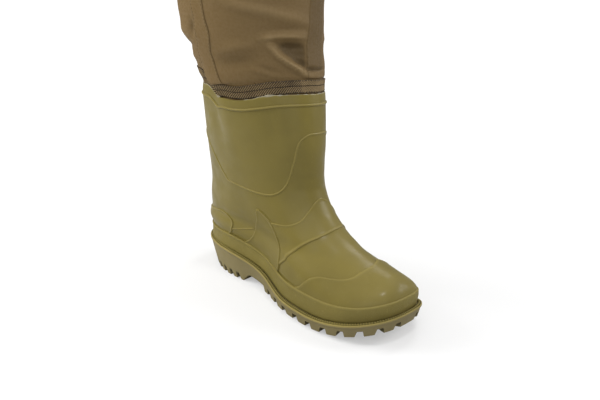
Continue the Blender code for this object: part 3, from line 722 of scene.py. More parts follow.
def webbing(name, main, dark):
    """Twill webbing: the rows' own height paints the gaps between the yarns dark as a painted shade, also along the
    band's edges.
    """
    material, tree, shader = fresh(name)
    tone = use_group(tree, uneven_tone, Main=main, Drift=scaled(main, 0.8), Speck=scaled(main, 1.25), Cloud=60.0)
    # Painted shade in the gaps between the yarns and along the band's edges
    deep = remap(tree, attribute(tree, "yarn"), 0.15, 0.75, 1.0, 0.0)
    feed(tree, shader, {
        "Base Color": mix(tree, deep, tone["Color"], dark),
        "Roughness": remap(tree, tone["Mask"], 0.0, 1.0, 0.78, 0.88),
        "Normal": bump(tree, noise(tree, place(tree), 1500.0), 0.4, 0.0002)})
    return material


def matt(name, main, dark, scale, rough):
    """Matt felt, thread or glue: a colour and its darker share in clouds over a fuzzy height."""
    material, tree, shader = fresh(name)
    tone = use_group(tree, uneven_tone, Main=main, Drift=scaled(main, dark), Speck=main, Cloud=scale)
    feed(tree, shader, {
        "Base Color": tone["Color"], "Roughness": remap(tree, tone["Mask"], 0.0, 1.0, rough, rough + 0.08),
        "Normal": bump(tree, noise(tree, place(tree), 1200.0, 3.0), 0.6, 0.0003)})
    return material


# Shapes


def edge_shares(width, middle):
    """Shares of a width with close steps over the first millimetres at both ends and even steps between."""
    width = np.asarray(width, float)[..., None]
    near = EDGE_STEPS * np.minimum(1.0, width / (2.3 * EDGE_STEPS[-1])) / width
    inner = near[..., -1:] + (1.0 - 2.0 * near[..., -1:]) * np.linspace(0.0, 1.0, middle + 2)[1:-1]
    return np.concatenate([near, inner, 1.0 - near[..., ::-1]], -1)


def plate(name, spot, stations, middle, edges, rise, finish="olive_satin"):
    """Raised plate on the boot: spot(u, v) gives row and angle; a quarter-round edge climbs to a small lip
    and settles to the plate's height. Edges tells which of start, end, lower and upper side have a lip."""
    lip = 1000.0 * settings().lip_rise
    fine_u = np.linspace(0.0, 1.0, 160)
    run = length_along(boot_face(*spot(fine_u, 0.6)), 0)
    u = np.interp(edge_shares(run[-1], stations) * run[-1], run, fine_u)[:, None]
    s = np.interp(u, fine_u, run)
    wide = np.maximum(length_along(boot_face(*spot(u, np.linspace(0.0, 1.0, 30))), 1)[:, -1:], 0.4)
    v = edge_shares(wide[:, 0], middle)
    far = np.full(v.shape, 50.0)
    for gap, lipped in zip((s, s[-1] - s, v * wide, (1.0 - v) * wide), edges):
        far = np.minimum(far, gap) if lipped else far
    round_up = np.sqrt(np.clip(1.0 - (1.0 - np.clip(far / 0.8, 0.0, 1.0))**2, 0.0, 1.0))
    full = 0.35 + 0.65 * ease(wide, 0.6, 4.0)
    high = -0.2 + (rise + 0.2) * round_up * full + lip * bell(far, 1.4, 1.15)
    front, back = spot(u, v), spot(u, np.linspace(1.0, 0.0, 6))
    outer = boot_face(*front) + high[..., None] * normal(boot_face, *front)
    inner = boot_face(*back) - 0.6 * normal(boot_face, *back)
    loop = np.concatenate([outer, inner], axis=1)
    # The lip is paler: wear and a painted highlight
    rim = np.concatenate([bell(far, 1.3, 1.25), np.zeros(inner.shape[:2])], axis=1)
    return piece("moulded_" + name, loop, [rubber(finish)], (name,), {"rim": rim},
                 close=(False, True), caps=end_caps(*loop.shape[:2]))


def rib(name, degrees, rows, closed, wide, high):
    """Half-round rib carried along a line of angles and rows on the boot; an open one fades at its ends."""
    angle = np.radians(degrees)
    base = boot_face(rows, angle)
    out = normal(boot_face, rows, angle)
    along = np.roll(base, -1, 0) - np.roll(base, 1, 0) if closed else np.gradient(base, axis=0)
    across = unit(np.cross(out, along))
    turn = np.linspace(0.0, np.pi, 9)
    side = np.concatenate([-np.cos(turn), [0.9, -0.9]]) * wide / 2
    up = np.concatenate([np.sin(turn) * high - 0.08, [-0.8, -0.8]])
    fade = np.ones(len(base))
    if not closed:
        fade = np.sqrt(np.clip(np.sin(np.pi * np.linspace(0.02, 0.98, len(base))) * 3.0, 0.05, 1.0))
    loop = base[:, None] + np.outer(fade, side)[..., None] * across[:, None]
    loop = loop + np.outer(fade, up)[..., None] * out[:, None]
    # The whole rib is paler: wear and a painted highlight
    return piece("moulded_" + name, loop, [rubber("olive_satin")], (name,), {"rim": 1.0},
                 close=(closed, True), caps=() if closed else end_caps(*loop.shape[:2]))


def stitches(name, lines, long, thick, finish):
    """Rows of short thread stitches: a six-sided capsule bent into the cloth at both ends, at every station.
    Each line holds the stations, the outward directions and the directions along the seam."""
    base, out, along = (np.concatenate(part)[:, None, None] for part in zip(*lines))
    share = np.linspace(-1.0, 1.0, 5)[:, None]
    turn = np.arange(6) * math.pi / 3
    girth = thick / 2 * np.sqrt(np.clip(1.0 - 0.85 * share**4, 0.0, 1.0))
    x = share * long / 2 + 0 * turn
    y = girth * np.cos(turn)
    z = girth * np.sin(turn) + 0.25 * thick * (1.0 - 2.0 * share**2)
    grid = base + x[..., None] * along + y[..., None] * np.cross(out, along) + z[..., None] * out
    starts = 30 * np.arange(len(base))[:, None]
    faces = (starts[..., None] + quads(5, 6, False, True)).reshape(-1, 4)
    caps = np.concatenate([starts + cap for cap in end_caps(5, 6)])
    return piece(name, grid, [finish], faces=faces, caps=caps.tolist())


def tint(name, description, default):
    """Property for a base colour."""
    return FloatVectorProperty(name=name, description=description, subtype="COLOR", default=default, min=0.0, max=1.0)


def watts(name, description, default):
    """Property for a light's power."""
    return FloatProperty(name=name, description=description, default=default, subtype="POWER")


class WaderSizes(bpy.types.PropertyGroup):
    """Sizes of the relief."""
    plate_rise: FloatProperty(name="Plate height", description="How far the moulded plates stand out",
                              default=0.0007, unit="LENGTH", min=0.0, max=0.003, precision=4)
    lip_rise: FloatProperty(name="Lip height", description="Extra height of the lip along a plate's edge",
                            default=0.00045, unit="LENGTH", min=0.0, max=0.002, precision=5)
    crease_depth: FloatProperty(name="Shaft creases", description="Share of the full depth of the shaft's creases",
                                default=1.0, min=0.0, max=2.0)
    fold_depth: FloatProperty(name="Cloth folds", description="Share of the full height of the leg's folds",
                              default=1.0, min=0.0, max=2.0)
    knurl_count: IntProperty(name="Welt knurls", description="Small ribs around the welt", default=262, min=60)
    twill_count: IntProperty(name="Twill lines", description="Slanting yarns around the tape", default=160, min=40)


class WaderColours(bpy.types.PropertyGroup):
    """Base colours of the finishes."""
    olive: tint("Olive", "Boot rubber", (0.187, 0.148, 0.0335))
    # Pale olive for wear and a painted highlight on rims and ribs
    olive_light: tint("Pale olive", "Rims and ribs", (0.305, 0.247, 0.076))
    rand: tint("Rand", "Grainy band over the welt", (0.210, 0.169, 0.044))
    sole: tint("Sole", "Sole rubber", (0.240, 0.197, 0.090))
    # Paler welt edge: wear and a painted highlight
    welt: tint("Welt", "Worn edge of the welt", (0.315, 0.248, 0.066))
    cloth: tint("Cloth", "Fabric leg", (0.160, 0.103, 0.039))
    cloth_dark: tint("Cloth in shade", "Troughs of the folds", (0.062, 0.038, 0.011))
    # Painted highlight on the crowns of the folds
    cloth_light: tint("Cloth on crowns", "Crowns of the folds", (0.230, 0.158, 0.070))
    tape: tint("Tape", "Twill tape", (0.235, 0.163, 0.073))
    thread: tint("Thread", "Stitches", (0.030, 0.018, 0.007))
    felt: tint("Felt", "Insole and lining", (0.085, 0.078, 0.066))
    glue: tint("Sealant", "Uneven bead on the collar", (0.360, 0.320, 0.215))


class WaderStage(bpy.types.PropertyGroup):
    """Camera, floor and lights."""
    lens: FloatProperty(name="Focal length", description="Camera lens", default=34.116, subtype="DISTANCE_CAMERA")
    shift: FloatProperty(name="Shift", description="Sideways shift that centres the boot", default=-0.117)
    roll: FloatProperty(name="Roll", description="Camera roll", default=math.radians(5.10), subtype="ANGLE")
    key_power: watts("Key light", "Power of the small lamp over the toe", 1.8)
    back_power: watts("Back light", "Power of the box on the inner side", 3.4)
    right_power: watts("Toe light", "Power of the box ahead of the toe", 6.6)
    fill_power: watts("Fill light", "Power of the wide low box in front", 11.5)
    side_power: watts("Side light", "Power of the box at the heel", 9.5)
    surround: FloatProperty(name="Surround", description="Strength of the pale surround", default=0.70)
    paper_glow: FloatProperty(name="Paper glow", description="Extra brightness of the paper in the picture",
                              default=0.8)


class WADER_OT_upper(bpy.types.Operator):
    """Build the hollow boot: creased outer skin, rounded collar edge and lined inside"""
    bl_idname = "wader.upper"
    bl_label = "Boot upper"

    def execute(self, context):
        angle = spread(300)[:, None]
        rows = np.concatenate([np.linspace(0.0, 6.5, 66), np.linspace(6.6, 12.0, 56)])
        outer = boot_face(rows, angle)
        out = normal(boot_face, rows, angle)
        on_ledge(outer[:, 0], 0.2)
        top = outer[:, -1:] + np.array((-0.35, -1.0, -1.65))[:, None] * out[:, -1:]
        top[..., 2] += (0.45, 0.65, 0.45)
        inner = (outer - UPPER_WALL * out)[:, ::-4]
        loop = np.concatenate([outer, top, inner], axis=1)
        edge = len(rows)
        # The collar's top edge is paler: wear and a painted highlight
        rim = np.zeros(loop.shape[:2])
        rim[:, edge - 1:edge + 3] = (0.3, 0.8, 0.8, 0.5)
        lined = np.zeros(loop.shape[:2], np.int32)
        lined[:, edge + 4:] = 1
        lining = matt("lining_felt", colours().felt, 0.75, 140.0, 0.88)
        piece("boot_upper", loop, [rubber("olive_satin"), lining], ("upper",), {"rim": rim},
              index=lined.ravel())
        return {"FINISHED"}


class WADER_OT_plates(bpy.types.Operator):
    """Build the toe cap, instep strap, heel counter and the two side fins as lipped plates"""
    bl_idname = "wader.plates"
    bl_label = "Moulded plates"

    def execute(self, context):
        rise = 1000.0 * settings().plate_rise

        def toe(u, v):
            turn = CAP_TURN * (2.0 * u - 1.0)
            top = column(TOE_CAP, 1, np.abs(turn)) + 0.15 * bell(turn, -17.0, 14.0)
            return PLATE_ROOT + (top - PLATE_ROOT) * v, np.radians(turn)

        def strap(u, v):
            share = 2.0 * u - 1.0
            side = np.sign(share)
            low, low_turn, high, high_turn = np.moveaxis(blend(STRAP, np.abs(share) * (len(STRAP) - 1)), -1, 0)
            low = low + 0.2 * bell(side * low_turn, -27.0, 18.0)
            return low + (high - low) * v, side * np.radians(low_turn + (high_turn - low_turn) * v)

        def counter(u, v):
            share = 2.0 * u - 1.0
            t = PLATE_ROOT + (column(COUNTER_TOP, 1, np.abs(share)) - PLATE_ROOT) * v
            edge = column(COUNTER_EDGE, 1, np.clip(t, COUNTER_EDGE[0][0], COUNTER_EDGE[-1][0]))
            return t, np.radians(180.0 - share * (180.0 - edge))

        def fin(side):
            def spot(u, v):
                t = FIN[0][0] + (FIN[-1][0] - FIN[0][0]) * u
                front = column(FIN, 1, t)
                return t, side * np.radians(front + (column(FIN, 2, t) - front) * v)
            return spot

        plate("toe_cap", toe, 120, 16, (False, False, False, True), rise + PLATE_EXTRA, "olive_toe")
        plate("instep_strap", strap, 110, 24, (False, False, True, True), rise)
        plate("heel_counter", counter, 90, 14, (True, True, False, True), rise)
        plate("fin_lateral", fin(1.0), 70, 12, (False, True, True, True), rise + PLATE_EXTRA)
        plate("fin_medial", fin(-1.0), 70, 12, (False, True, True, True), rise + PLATE_EXTRA)
        return {"FINISHED"}


class WADER_OT_ribs(bpy.types.Operator):
    """Build the collar bead, the line round the shaft and the short side ribs as half-round ribs"""
    bl_idname = "wader.ribs"
    bl_label = "Moulded ribs"

    def execute(self, context):
        turn = np.degrees(spread(360))
        rib("collar_bead", turn, np.full(360, COLLAR_BEAD_ROW), True, 2.8, 1.45)
        line = blend(SHAFT_RIB, np.linspace(0.0, len(SHAFT_RIB) - 1, 240))
        inner = line * (-1.0, 1.0)
        inner[:, 0] -= 17.0 * ease(line[:, 0], 0.0, 14.0) * (1.0 - ease(line[:, 0], 60.0, 130.0))
        around = np.concatenate([line, inner[-2:0:-1]])
        rib("shaft_rib", around[:, 0], around[:, 1], True, 2.2, 0.85)
        line = blend(SIDE_RIB, np.linspace(0.0, len(SIDE_RIB) - 1, 40))
        rib("side_rib_lateral", line[:, 0], line[:, 1], False, 1.7, 0.75)
        rib("side_rib_medial", -line[:, 0], line[:, 1], False, 1.7, 0.75)
        return {"FINISHED"}


class WADER_OT_rand(bpy.types.Operator):
    """Build the rand: one profile with a rounded top lip, paler from wear and a painted highlight, and a painted
    shade along its lower edge, carried round the foot
    """
    bl_idname = "wader.rand"
    bl_label = "Rand"

    def execute(self, context):
        height, apart, rim, soil = RAND.T
        angle = spread(420)[:, None]
        foot = upper_point(0.0, angle)[..., 0]
        high = height * (1.0 + 0.13 * ease(foot, 20.0, 90.0) * (1.0 - ease(foot, 215.0, 275.0)))
        t = np.clip(high / RAND_HIGH, 0.02, 1.0) + np.clip(high - RAND_HIGH, 0.0, None) / ROW_STEP
        loop = upper_point(t, angle) + apart[:, None] * normal(upper_point, t, angle)
        # Paler top lip from wear and a painted highlight; painted shade along the lower edge
        piece("boot_rand", on_ledge(loop, high), [rubber("rand_grain")], ("rand",),
              {"rim": rim, "soil": soil})
        return {"FINISHED"}


class WADER_OT_sole(bpy.types.Operator):
    """Build the sole from rings: tread pad, channel, notched lugs, side wall, welt bead, and the knurled strip"""
    bl_idname = "wader.sole"
    bl_label = "Lugged sole"

    def stations(self):
        """Angles along the lower edge, close together at notches and steps, with the notch depth at each."""
        fine = np.linspace(0.0, np.pi, 6001)
        edge = sole_edge(fine)
        run = length_along(edge, 0)
        marks = [np.arange(0.7, run[-1] - 0.5, 2.4)]
        for first, pitch, count, wide, root, deep in LUGS:
            flank = np.linspace(root / 2 - 0.5, wide / 2 + 0.7, 7)
            near = np.concatenate([-flank, flank])
            marks.append((first + pitch * np.arange(count)[:, None] + near).ravel())
        steps = np.concatenate([np.linspace(BREAST_AT - 1, BREAST_AT + BREAST_LONG + 1, 22),
                                np.linspace(FOREFOOT_AT - 1, FOREFOOT_AT + FOREFOOT_STEP + 1, 12)])
        marks.append(np.interp(steps, edge[::-1, 0], run[::-1]))
        s = np.sort(np.concatenate(marks))
        s = s[(s > 0.5) & (s < run[-1] - 0.5)]
        s = s[np.concatenate([[True], np.diff(s) > 0.16])]
        notch = np.zeros(len(s))
        for first, pitch, count, wide, root, deep in LUGS:
            gap = np.abs(s[:, None] - (first + pitch * np.arange(count))).min(axis=1)
            notch = np.maximum(notch, deep * (1.0 - ease(gap, root / 2 - 0.35, wide / 2 + 0.35)))
        half = np.interp(s, run, fine)
        return np.concatenate([half, -half[::-1]]), np.concatenate([notch, notch[::-1]])

    def execute(self, context):
        angle, notch = self.stations()
        edge = sole_edge(angle)
        step = sole_edge(angle + 1e-4) - sole_edge(angle - 1e-4)
        inward = unit(np.stack([step[:, 1], -step[:, 0], 0 * step[:, 0]], -1))
        under = arch(edge[:, 0])
        ball = FOREFOOT_AT + FOREFOOT_STEP
        tread = 1.0 - ease(edge[:, 0], BREAST_AT - 6.0, BREAST_AT) + ease(edge[:, 0], ball, ball + 6.0)

        def tread_ring(inset, lift):
            ring = edge + inset * inward
            spring = np.clip((ring[:, 0] - SPRING_FROM) / (LENGTH - SPRING_FROM), 0.0, None)
            ring[:, 2] = under + lift + TOE_SPRING * spring**2
            return ring

        # Painted shade darkens the pad's grooves, the channel and the notches' walls; the welt bead is paler from
        # wear and a painted highlight
        rings, rims, painted_shade_rows = [], [], []
        deep = np.clip(notch / NOTCH_FULL, 0.0, 1.0)
        pad = tread_ring(PAD_INSET, 0.0)
        middle = (pad + pad[::-1]) / 2
        for share, groove in PAD_RINGS:
            rings.append(pad + (middle - pad) * share)
            rings[-1][:, 2] += groove * notch
            painted_shade_rows.append(0.5 * deep * (groove > 0))
        channel = CHANNEL_DEEP * tread
        for inset, floor, cut in CHANNEL_RINGS:
            rings.append(tread_ring(inset, np.maximum(channel * floor, notch * cut)))
            painted_shade_rows.append(np.maximum(0.95 * deep * cut, 0.6 * floor * tread))
        foot = tread_ring(0.0, 0.0)
        wall = on_ledge(outline(WALL_INSET, WALL_INSET, angle), WALL_LIFT)
        cut = (notch + 0.35) / (wall[:, 2] - foot[:, 2])
        for share in WALL_SHARES:
            rings.append(foot + (wall - foot) * (cut + (1.0 - cut) * share)[:, None])
            painted_shade_rows.append(0.9 * deep * (1.0 - ease(share, 0.0, 0.09)))
        rims += [0.0] * len(rings)
        for inset, lift, rim in WELT_RINGS:
            rings.append(on_ledge(outline(inset, inset, angle), lift))
            rims.append(rim)
        last = rings[-1]
        for share in (0.4, 0.97):
            rings.append(last + ((last + last[::-1]) / 2 - last) * share)
            rims.append(0.0)
        loop = np.array(rings)
        levels, count = loop.shape[:2]
        i = np.arange(count // 2 - 1)
        strip = np.stack([i, i + 1, count - 2 - i, count - 1 - i], -1)
        faces = np.concatenate([quads(levels, count, False, True), strip[:, ::-1], strip + (levels - 1) * count])
        soil = np.concatenate([painted_shade_rows, np.zeros((levels - len(painted_shade_rows), count))])
        sole = piece("boot_sole", loop, [rubber("sole_matt")], ("outsole",),
                     {"rim": np.array(rims)[:, None], "soil": soil}, faces)
        sole.data.set_sharp_from_angle(angle=math.radians(50.0))
        self.knurl()
        return {"FINISHED"}

    def knurl(self):
        """Strip in the welt's groove: a low profile whose crown rises and falls in a wave around the boot."""
        fine = np.linspace(-np.pi, np.pi, 12001)
        run = length_along(outline(3.4, 3.4, fine), 0)
        count = len(KNURL_WAVE) * settings().knurl_count
        angle = np.interp(np.arange(count) / count * run[-1], run, fine)
        wave = np.tile(KNURL_WAVE, settings().knurl_count)
        loop = [on_ledge(outline(inset, inset, angle), lift + share * (wave - 0.6))
                for inset, lift, share in KNURL_RINGS]
        # Painted highlight and wear on the knurls' crests, painted shade between them
        rim = wave[:, None]**2
        piece("welt_knurl", np.stack(loop, axis=1), [rubber("rand_grain")],
              marks={"rim": rim, "soil": 0.4 * (1.0 - rim)})


class WADER_OT_insole(bpy.types.Operator):
    """Build the felt insole: a flat pad with a rounded edge that follows the upper's inside"""
    bl_idname = "wader.insole"
    bl_label = "Insole"

    def execute(self, context):
        count = 240
        angle = spread(count)
        edge = upper_point(INSOLE_ROW, angle)
        out = normal(upper_point, INSOLE_ROW, angle)
        mirror = -np.arange(count) % count

        def drawn_in(ring, share, lift):
            """A ring drawn towards the middle line by a share."""
            return on_ledge(ring + ((ring + ring[mirror]) / 2 - ring) * share, lift)

        rings = [on_ledge(edge - inset * out, lift) for inset, lift in INSOLE_RINGS]
        rings = [drawn_in(rings[0], 0.97, 0.3)] + rings + [drawn_in(rings[-1], share, 2.9) for share in (0.45, 0.96)]
        top = (len(rings) - 1) * count
        i = np.arange(1, count // 2 - 1)
        strip = np.stack([i, i + 1, count - 1 - i, count - i], -1)
        ends = np.array(((0, 1, count - 1), (count // 2 - 1, count // 2, count // 2 + 1)))
        caps = np.concatenate([ends[:, ::-1], ends + top]).tolist()
        faces = np.concatenate([quads(len(rings), count, False, True), strip[:, ::-1], strip + top])
        felt = matt("pressed_felt", colours().felt, 0.7, 90.0, 0.9)
        piece("felt_insole", rings, [felt], ("insole",), faces=faces, caps=caps)
        return {"FINISHED"}


class WADER_OT_leg(bpy.types.Operator):
    """Build the fabric leg with its folds, lapped seams and stitches"""
    bl_idname = "wader.leg"
    bl_label = "Fabric leg"

    def seam_line(self, key, shift):
        """Stations, outward and forward directions of the stitches beside one of the seams."""
        count = 400
        t = np.linspace(2.95, 7.95, count)
        at = seam_at(leg_point(t, seam_at(np.full(count, 300.0), key))[..., 2], key) + shift / SEAM_RADIUS
        places = even(leg_face(t, at), SEAM_PITCH)
        t = np.interp(places, np.arange(count), t)
        at = np.interp(places, np.arange(count), at)
        return leg_face(t, at), normal(leg_face, t, at), unit(leg_face(t + 0.01, at) - leg_face(t - 0.01, at))

    def execute(self, context):
        count = 360
        angle = (np.arange(count) * 2 * np.pi / count)[:, None]
        t = np.concatenate([np.linspace(0.0, 2.0, 10), np.linspace(2.08, 6.4, 122), np.linspace(6.46, 8.0, 28)])
        outer = leg_face(t, angle)
        out = normal(leg_point, t, angle)
        inner = (outer - LEG_WALL * out)[:, ::-3]
        edge = outer[:, -1:] - LEG_WALL / 2 * out[:, -1:]
        edge[..., 2] += 0.35
        loop = np.concatenate([outer, edge, inner], axis=1)
        z = leg_point(t, angle)[..., 2]
        pad = np.zeros((count, loop.shape[1] - len(t)))
        away = 60.0
        marks = {"fold": np.concatenate([leg_relief(t, angle)[0], pad], 1)}
        for key, name in ((1, "front"), (2, "rear"), (3, "panel")):
            apart = (np.radians(wrapped(angle)) - seam_at(z, key)) * MARK_RADIUS + away * (1.0 - ease(t, 2.3, 2.7))
            marks[name] = np.concatenate([apart, pad + away], 1)
        # Painted shade on the lapped panel beside the front seam, above the tuck
        lap = ease(-marks["panel"], 0.0, 1.0) * (1.0 - ease(-marks["panel"], 24.0, 40.0))
        marks["shade"] = lap * np.concatenate([ease(z, 245.0, 247.0), pad], 1)
        v = np.concatenate([z.mean(axis=0), np.linspace(z.max(), z.min(), pad.shape[1] + 1)])
        uv = quad_uv(np.arange(count + 1) * LEG_GIRTH / count, v)
        c = colours()
        fabric = cloth("leg_cloth", c.cloth, c.cloth_dark, c.cloth_light)
        leg = piece("fabric_leg", loop, [fabric], ("leg",), marks, uv=uv)
        lines = [self.seam_line(key, shift) for key, shift in ((1, 1.6), (2, -1.6), (3, -1.8))]
        near = matt("cloth_thread", scaled(c.cloth, 0.8), 0.75, 300.0, 0.7)
        seam = stitches("leg_stitches", lines, 2.5, 0.5, near)
        return {"FINISHED"}


class WADER_OT_tape(bpy.types.Operator):
    """Build the two rows of twill tape, their stitches and the uneven sealant on the collar's edge"""
    bl_idname = "wader.tape"
    bl_label = "Seam tape"

    def climb(self, angle):
        """How many rows the upper band rises at the outer back corner: a step up and a step down."""
        turn = wrapped(angle)
        return 0.5 * ease(turn, 109.0, 120.0) * (1.0 - ease(turn, 146.0, 165.0))

    def sway(self, angle):
        """Small waves of the tape around the leg: a sum of two sines."""
        return 0.5 * (0.25 * np.sin(9 * angle) + 0.2 * np.sin(17 * angle + 1.0))

    def band(self, low, high, twill):
        """One row of tape between two rows of the leg, and how far its yarns stand out of the gaps."""
        count = YARN_STEPS * twill
        share = (np.arange(count) / count)[:, None]
        angle = share * 2 * np.pi
        v = np.concatenate([[0.0, 0.02], np.linspace(0.05, 0.95, 17), [0.98, 1.0]])
        high = high + (high > 2.0) * self.climb(angle)
        t = low + (high - low) * v
        turn = wrapped(angle)
        crossed = ease(turn, -44.0, -40.0) * (1.0 - ease(turn, 13.0, 17.0))
        other = np.sin(2 * np.pi * (twill * share - TWILL_SLANT * v)) * crossed - 2.0 * (1.0 - crossed)
        yarn = 0.45 + 0.75 * np.maximum(np.sin(2 * np.pi * (twill * share + TWILL_SLANT * v)), other)
        yarn = np.clip(yarn, 0.0, 1.0)
        body = np.minimum(ease(v, 0.0, 0.06), ease(1.0 - v, 0.0, 0.06))
        dull = 1.0 - 0.4 * (low > 1.2) * bell(turn, 24.0, 6.0)
        thick = 0.15 + body * (0.9 + 0.6 * yarn) + 0.35 + self.sway(angle)
        outer = leg_point(t, angle) + thick[..., None] * normal(leg_point, t, angle)
        outer[..., 2] += self.sway(angle)
        back = low + (high - low) * np.array((0.9, 0.1))
        inner = leg_point(back, angle) + 0.02 * normal(leg_point, back, angle)
        loop = np.concatenate([outer, inner], axis=1)
        return loop, np.concatenate([yarn * body * dull, np.ones((count, 2))], axis=1)

    def stitch_line(self, row, lift):
        """Stations, outward and forward directions of the stitches along one row of the leg."""
        turn = np.linspace(0.0, 2 * np.pi, 721)
        turn = np.interp(even(leg_point(row, turn), TAPE_PITCH), np.arange(721), turn)
        rows = row + (row > 2.0) * self.climb(turn)
        out = normal(leg_point, rows, turn)
        base = leg_point(rows, turn) + (lift - 0.15 + self.sway(turn))[:, None] * out
        base[:, 2] += self.sway(turn)
        return base, out, unit(leg_point(rows, turn + 0.01) - leg_point(rows, turn - 0.01))

    def sealant(self):
        """Uneven bead on the collar's upper edge: a round profile whose girth follows a sum of sine waves."""
        angle = np.linspace(0.0, 2 * np.pi, 720, endpoint=False)
        lumps = sum(np.sin(k * angle + start) for k, start in ((23, 0.0), (37, 1.3), (61, 0.5), (11, 2.0)))
        bits = bell(wrapped(angle)[:, None], *np.array(SEALANT_BITS)).sum(axis=1)
        girth = (0.25 + 0.35 * ease(lumps, 0.3, 2.4) + 0.55 * bits)[:, None]
        out = normal(boot_face, COLLAR_ROW, angle)
        base = boot_face(COLLAR_ROW, angle) - 1.1 * out
        base[:, 2] += 0.5
        turn = np.arange(8) * math.pi / 4
        loop = base[:, None] + (girth * np.cos(turn) * 1.3)[..., None] * out[:, None]
        loop[..., 2] += girth * np.sin(turn)
        piece("collar_sealant", loop, [matt("sealant", colours().glue, 0.6, 220.0, 0.5)])

    def execute(self, context):
        c = colours()
        bands, yarns = zip(*(self.band(low, high, settings().twill_count) for low, high in TAPE_ROWS))
        count, cols = bands[0].shape[:2]
        faces = quads(count, cols, True, True)
        piece("twill_tape", np.concatenate(bands), [webbing("tape_twill", c.tape, c.thread)],
              ("seam_tape",), {"yarn": np.concatenate(yarns)}, np.concatenate([faces, faces + count * cols]))
        lines = [self.stitch_line(row, lift) for row, lift in ((1.02, 1.9), (1.517, 1.6), (2.06, 1.9))]
        stitches("tape_stitches", lines, 2.7, 0.75, matt("thread", c.thread, 0.7, 300.0, 0.7))
        self.sealant()
        return {"FINISHED"}


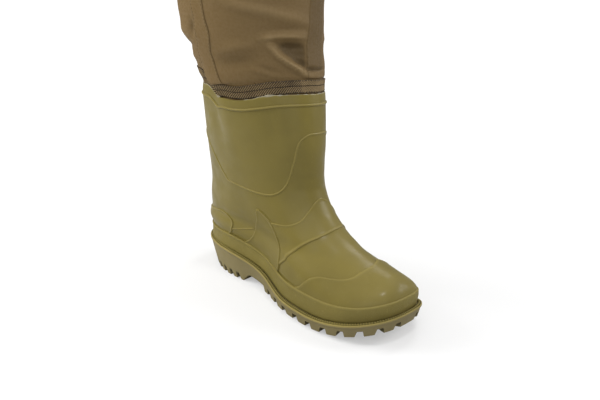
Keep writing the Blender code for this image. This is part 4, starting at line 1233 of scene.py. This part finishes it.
class WADER_OT_stage(bpy.types.Operator):
    """Set the pale floor, the soft lights, the white surround and the camera"""
    bl_idname = "wader.stage"
    bl_label = "Stage"

    def turn(self, thing, side, up, back):
        """Turn an object so that its own axes lie along three directions."""
        matrix = thing.matrix_world.copy()
        for k, axis in enumerate((side, up, back)):
            for j, value in enumerate(unit(axis)):
                matrix[j][k] = value
        spot = thing.location.copy()
        thing.matrix_world = matrix
        thing.location = spot

    def softbox(self, name, spot, aim, wide, high, power, shine):
        """Rectangular area light turned from its place towards a point; without shine it isn't mirrored."""
        lamp = bpy.data.lights.new(name, "AREA")
        lamp.shape = "RECTANGLE"
        lamp.size = wide
        lamp.size_y = high
        lamp.energy = power
        thing = link(name, lamp)
        thing.location = spot
        thing.visible_camera = False
        thing.visible_glossy = shine
        ahead = np.subtract(aim, spot)
        side = np.cross(ahead, (0.0, 0.0, 1.0))
        self.turn(thing, side, np.cross(side, ahead), -ahead)

    def dish(self, glow):
        """White paper floor whose rim curls up: height is the square of the distance past 1.8 m."""
        far = np.concatenate([[0.02], np.linspace(0.4, 1.8, 6), np.linspace(1.95, 3.4, 12)])[:, None]
        turn = np.linspace(0.0, 2 * np.pi, 72, endpoint=False)
        high = 0.75 * np.clip(far - 1.8, 0.0, None)**2 + 0 * turn
        grid = np.stack([far * np.cos(turn), far * np.sin(turn), high], -1).reshape(-1, 3)
        mesh = bpy.data.meshes.new("floor")
        faces = quads(len(far), 72, False, True)[:, ::-1].tolist()
        mesh.from_pydata(grid.tolist(), [], faces + [list(range(72))])
        mesh.polygons.foreach_set("use_smooth", np.ones(len(mesh.polygons), bool))
        mesh.update()
        paper, tree, shader = fresh("floor_paper")
        seen = node(tree, "LightPath")["Is Camera Ray"]
        away = node(tree, "VectorMath", {0: place(tree)}, operation="LENGTH")["Value"]
        seen = math_node(tree, "MULTIPLY", seen, remap(tree, away, 0.25, 1.3, 0.5, 1.0))
        feed(tree, shader, {
            "Base Color": (0.50, 0.50, 0.50), "Roughness": 0.9, "Specular IOR Level": 0.1, "Emission Strength": glow,
            "Emission Color": mix(tree, seen, (0.0, 0.0, 0.0), (1.0, 1.0, 1.0))})
        mesh.materials.append(paper)
        return link("floor", mesh)

    def sky(self, scene, strength):
        """White surround, dimmer on the boot's inner side."""
        scene.world = scene.world or bpy.data.worlds.new("surround")
        scene.world.use_nodes = True
        tree = scene.world.node_tree
        ray = node(tree, "TexCoord")["Generated"]
        side = node(tree, "VectorMath", {0: ray, 1: (0.35, 0.94, 0.0)}, operation="DOT_PRODUCT")["Value"]
        dim = remap(tree, side, -0.2, 0.85, 0.0, 1.0)
        feed(tree, tree.nodes["Background"], {
            "Color": mix(tree, dim, (1.0, 1.0, 1.0), (0.3, 0.3, 0.3)), "Strength": strength})

    def camera(self, s):
        """Camera of the photo: its place, direction, roll and shift."""
        lens = bpy.data.cameras.new("camera")
        lens.sensor_fit = "HORIZONTAL"
        lens.sensor_width = SENSOR_WIDE
        lens.lens = s.lens
        lens.shift_x = s.shift
        camera = link("camera", lens)
        camera.location = np.subtract(CAMERA_AT, (X_CENTRE, 0.0, 0.0)) / 1000.0
        flat = math.cos(ELEVATION)
        back = np.array((math.sin(AZIMUTH) * flat, -math.cos(AZIMUTH) * flat, math.sin(ELEVATION)))
        side = np.array((math.cos(AZIMUTH), math.sin(AZIMUTH), 0.0))
        up = np.cross(side, -back)
        c, d = math.cos(s.roll), math.sin(s.roll)
        self.turn(camera, c * side + d * up, c * up - d * side, back)
        return camera

    def execute(self, context):
        scene = context.scene
        s = scene.wader_stage
        scene.view_settings.view_transform = "Standard"
        floor = self.dish(s.paper_glow)
        self.sky(scene, s.surround)
        for name, spot, aim, wide, high, shine in LIGHTS:
            self.softbox(name + "_box", spot, aim, wide, high, getattr(s, name + "_power"), shine)
        scene.camera = self.camera(s)
        return {"FINISHED"}


class WADER_PT_panel(bpy.types.Panel):
    """Sizes, colours and the steps of the build"""
    bl_label = "Wader boot"
    bl_idname = "WADER_PT_panel"
    bl_space_type = "VIEW_3D"
    bl_region_type = "UI"
    bl_category = "Wader"

    def draw(self, context):
        for key in VALUES:
            box = self.layout.box()
            values = getattr(context.scene, key)
            for name in type(values).__annotations__:
                box.prop(values, name)
        for step in STEPS:
            self.layout.operator(step.bl_idname)


VALUES = {"wader_sizes": WaderSizes, "wader_colours": WaderColours, "wader_stage": WaderStage}
STEPS = (WADER_OT_stage, WADER_OT_upper, WADER_OT_plates, WADER_OT_ribs, WADER_OT_rand, WADER_OT_sole,
         WADER_OT_insole, WADER_OT_leg, WADER_OT_tape)
CLASSES = (*VALUES.values(), *STEPS, WADER_PT_panel)


def register():
    for kind in CLASSES:
        bpy.utils.register_class(kind)
    for key, kind in VALUES.items():
        setattr(bpy.types.Scene, key, PointerProperty(type=kind))


def unregister():
    for key in VALUES:
        delattr(bpy.types.Scene, key)
    for kind in reversed(CLASSES):
        bpy.utils.unregister_class(kind)


def main():
    register()
    bpy.ops.wader.stage()
    bpy.ops.wader.upper()
    bpy.ops.wader.plates()
    bpy.ops.wader.ribs()
    bpy.ops.wader.rand()
    bpy.ops.wader.sole()
    bpy.ops.wader.insole()
    bpy.ops.wader.leg()
    bpy.ops.wader.tape()
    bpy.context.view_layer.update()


if __name__ == "__main__":
    main()
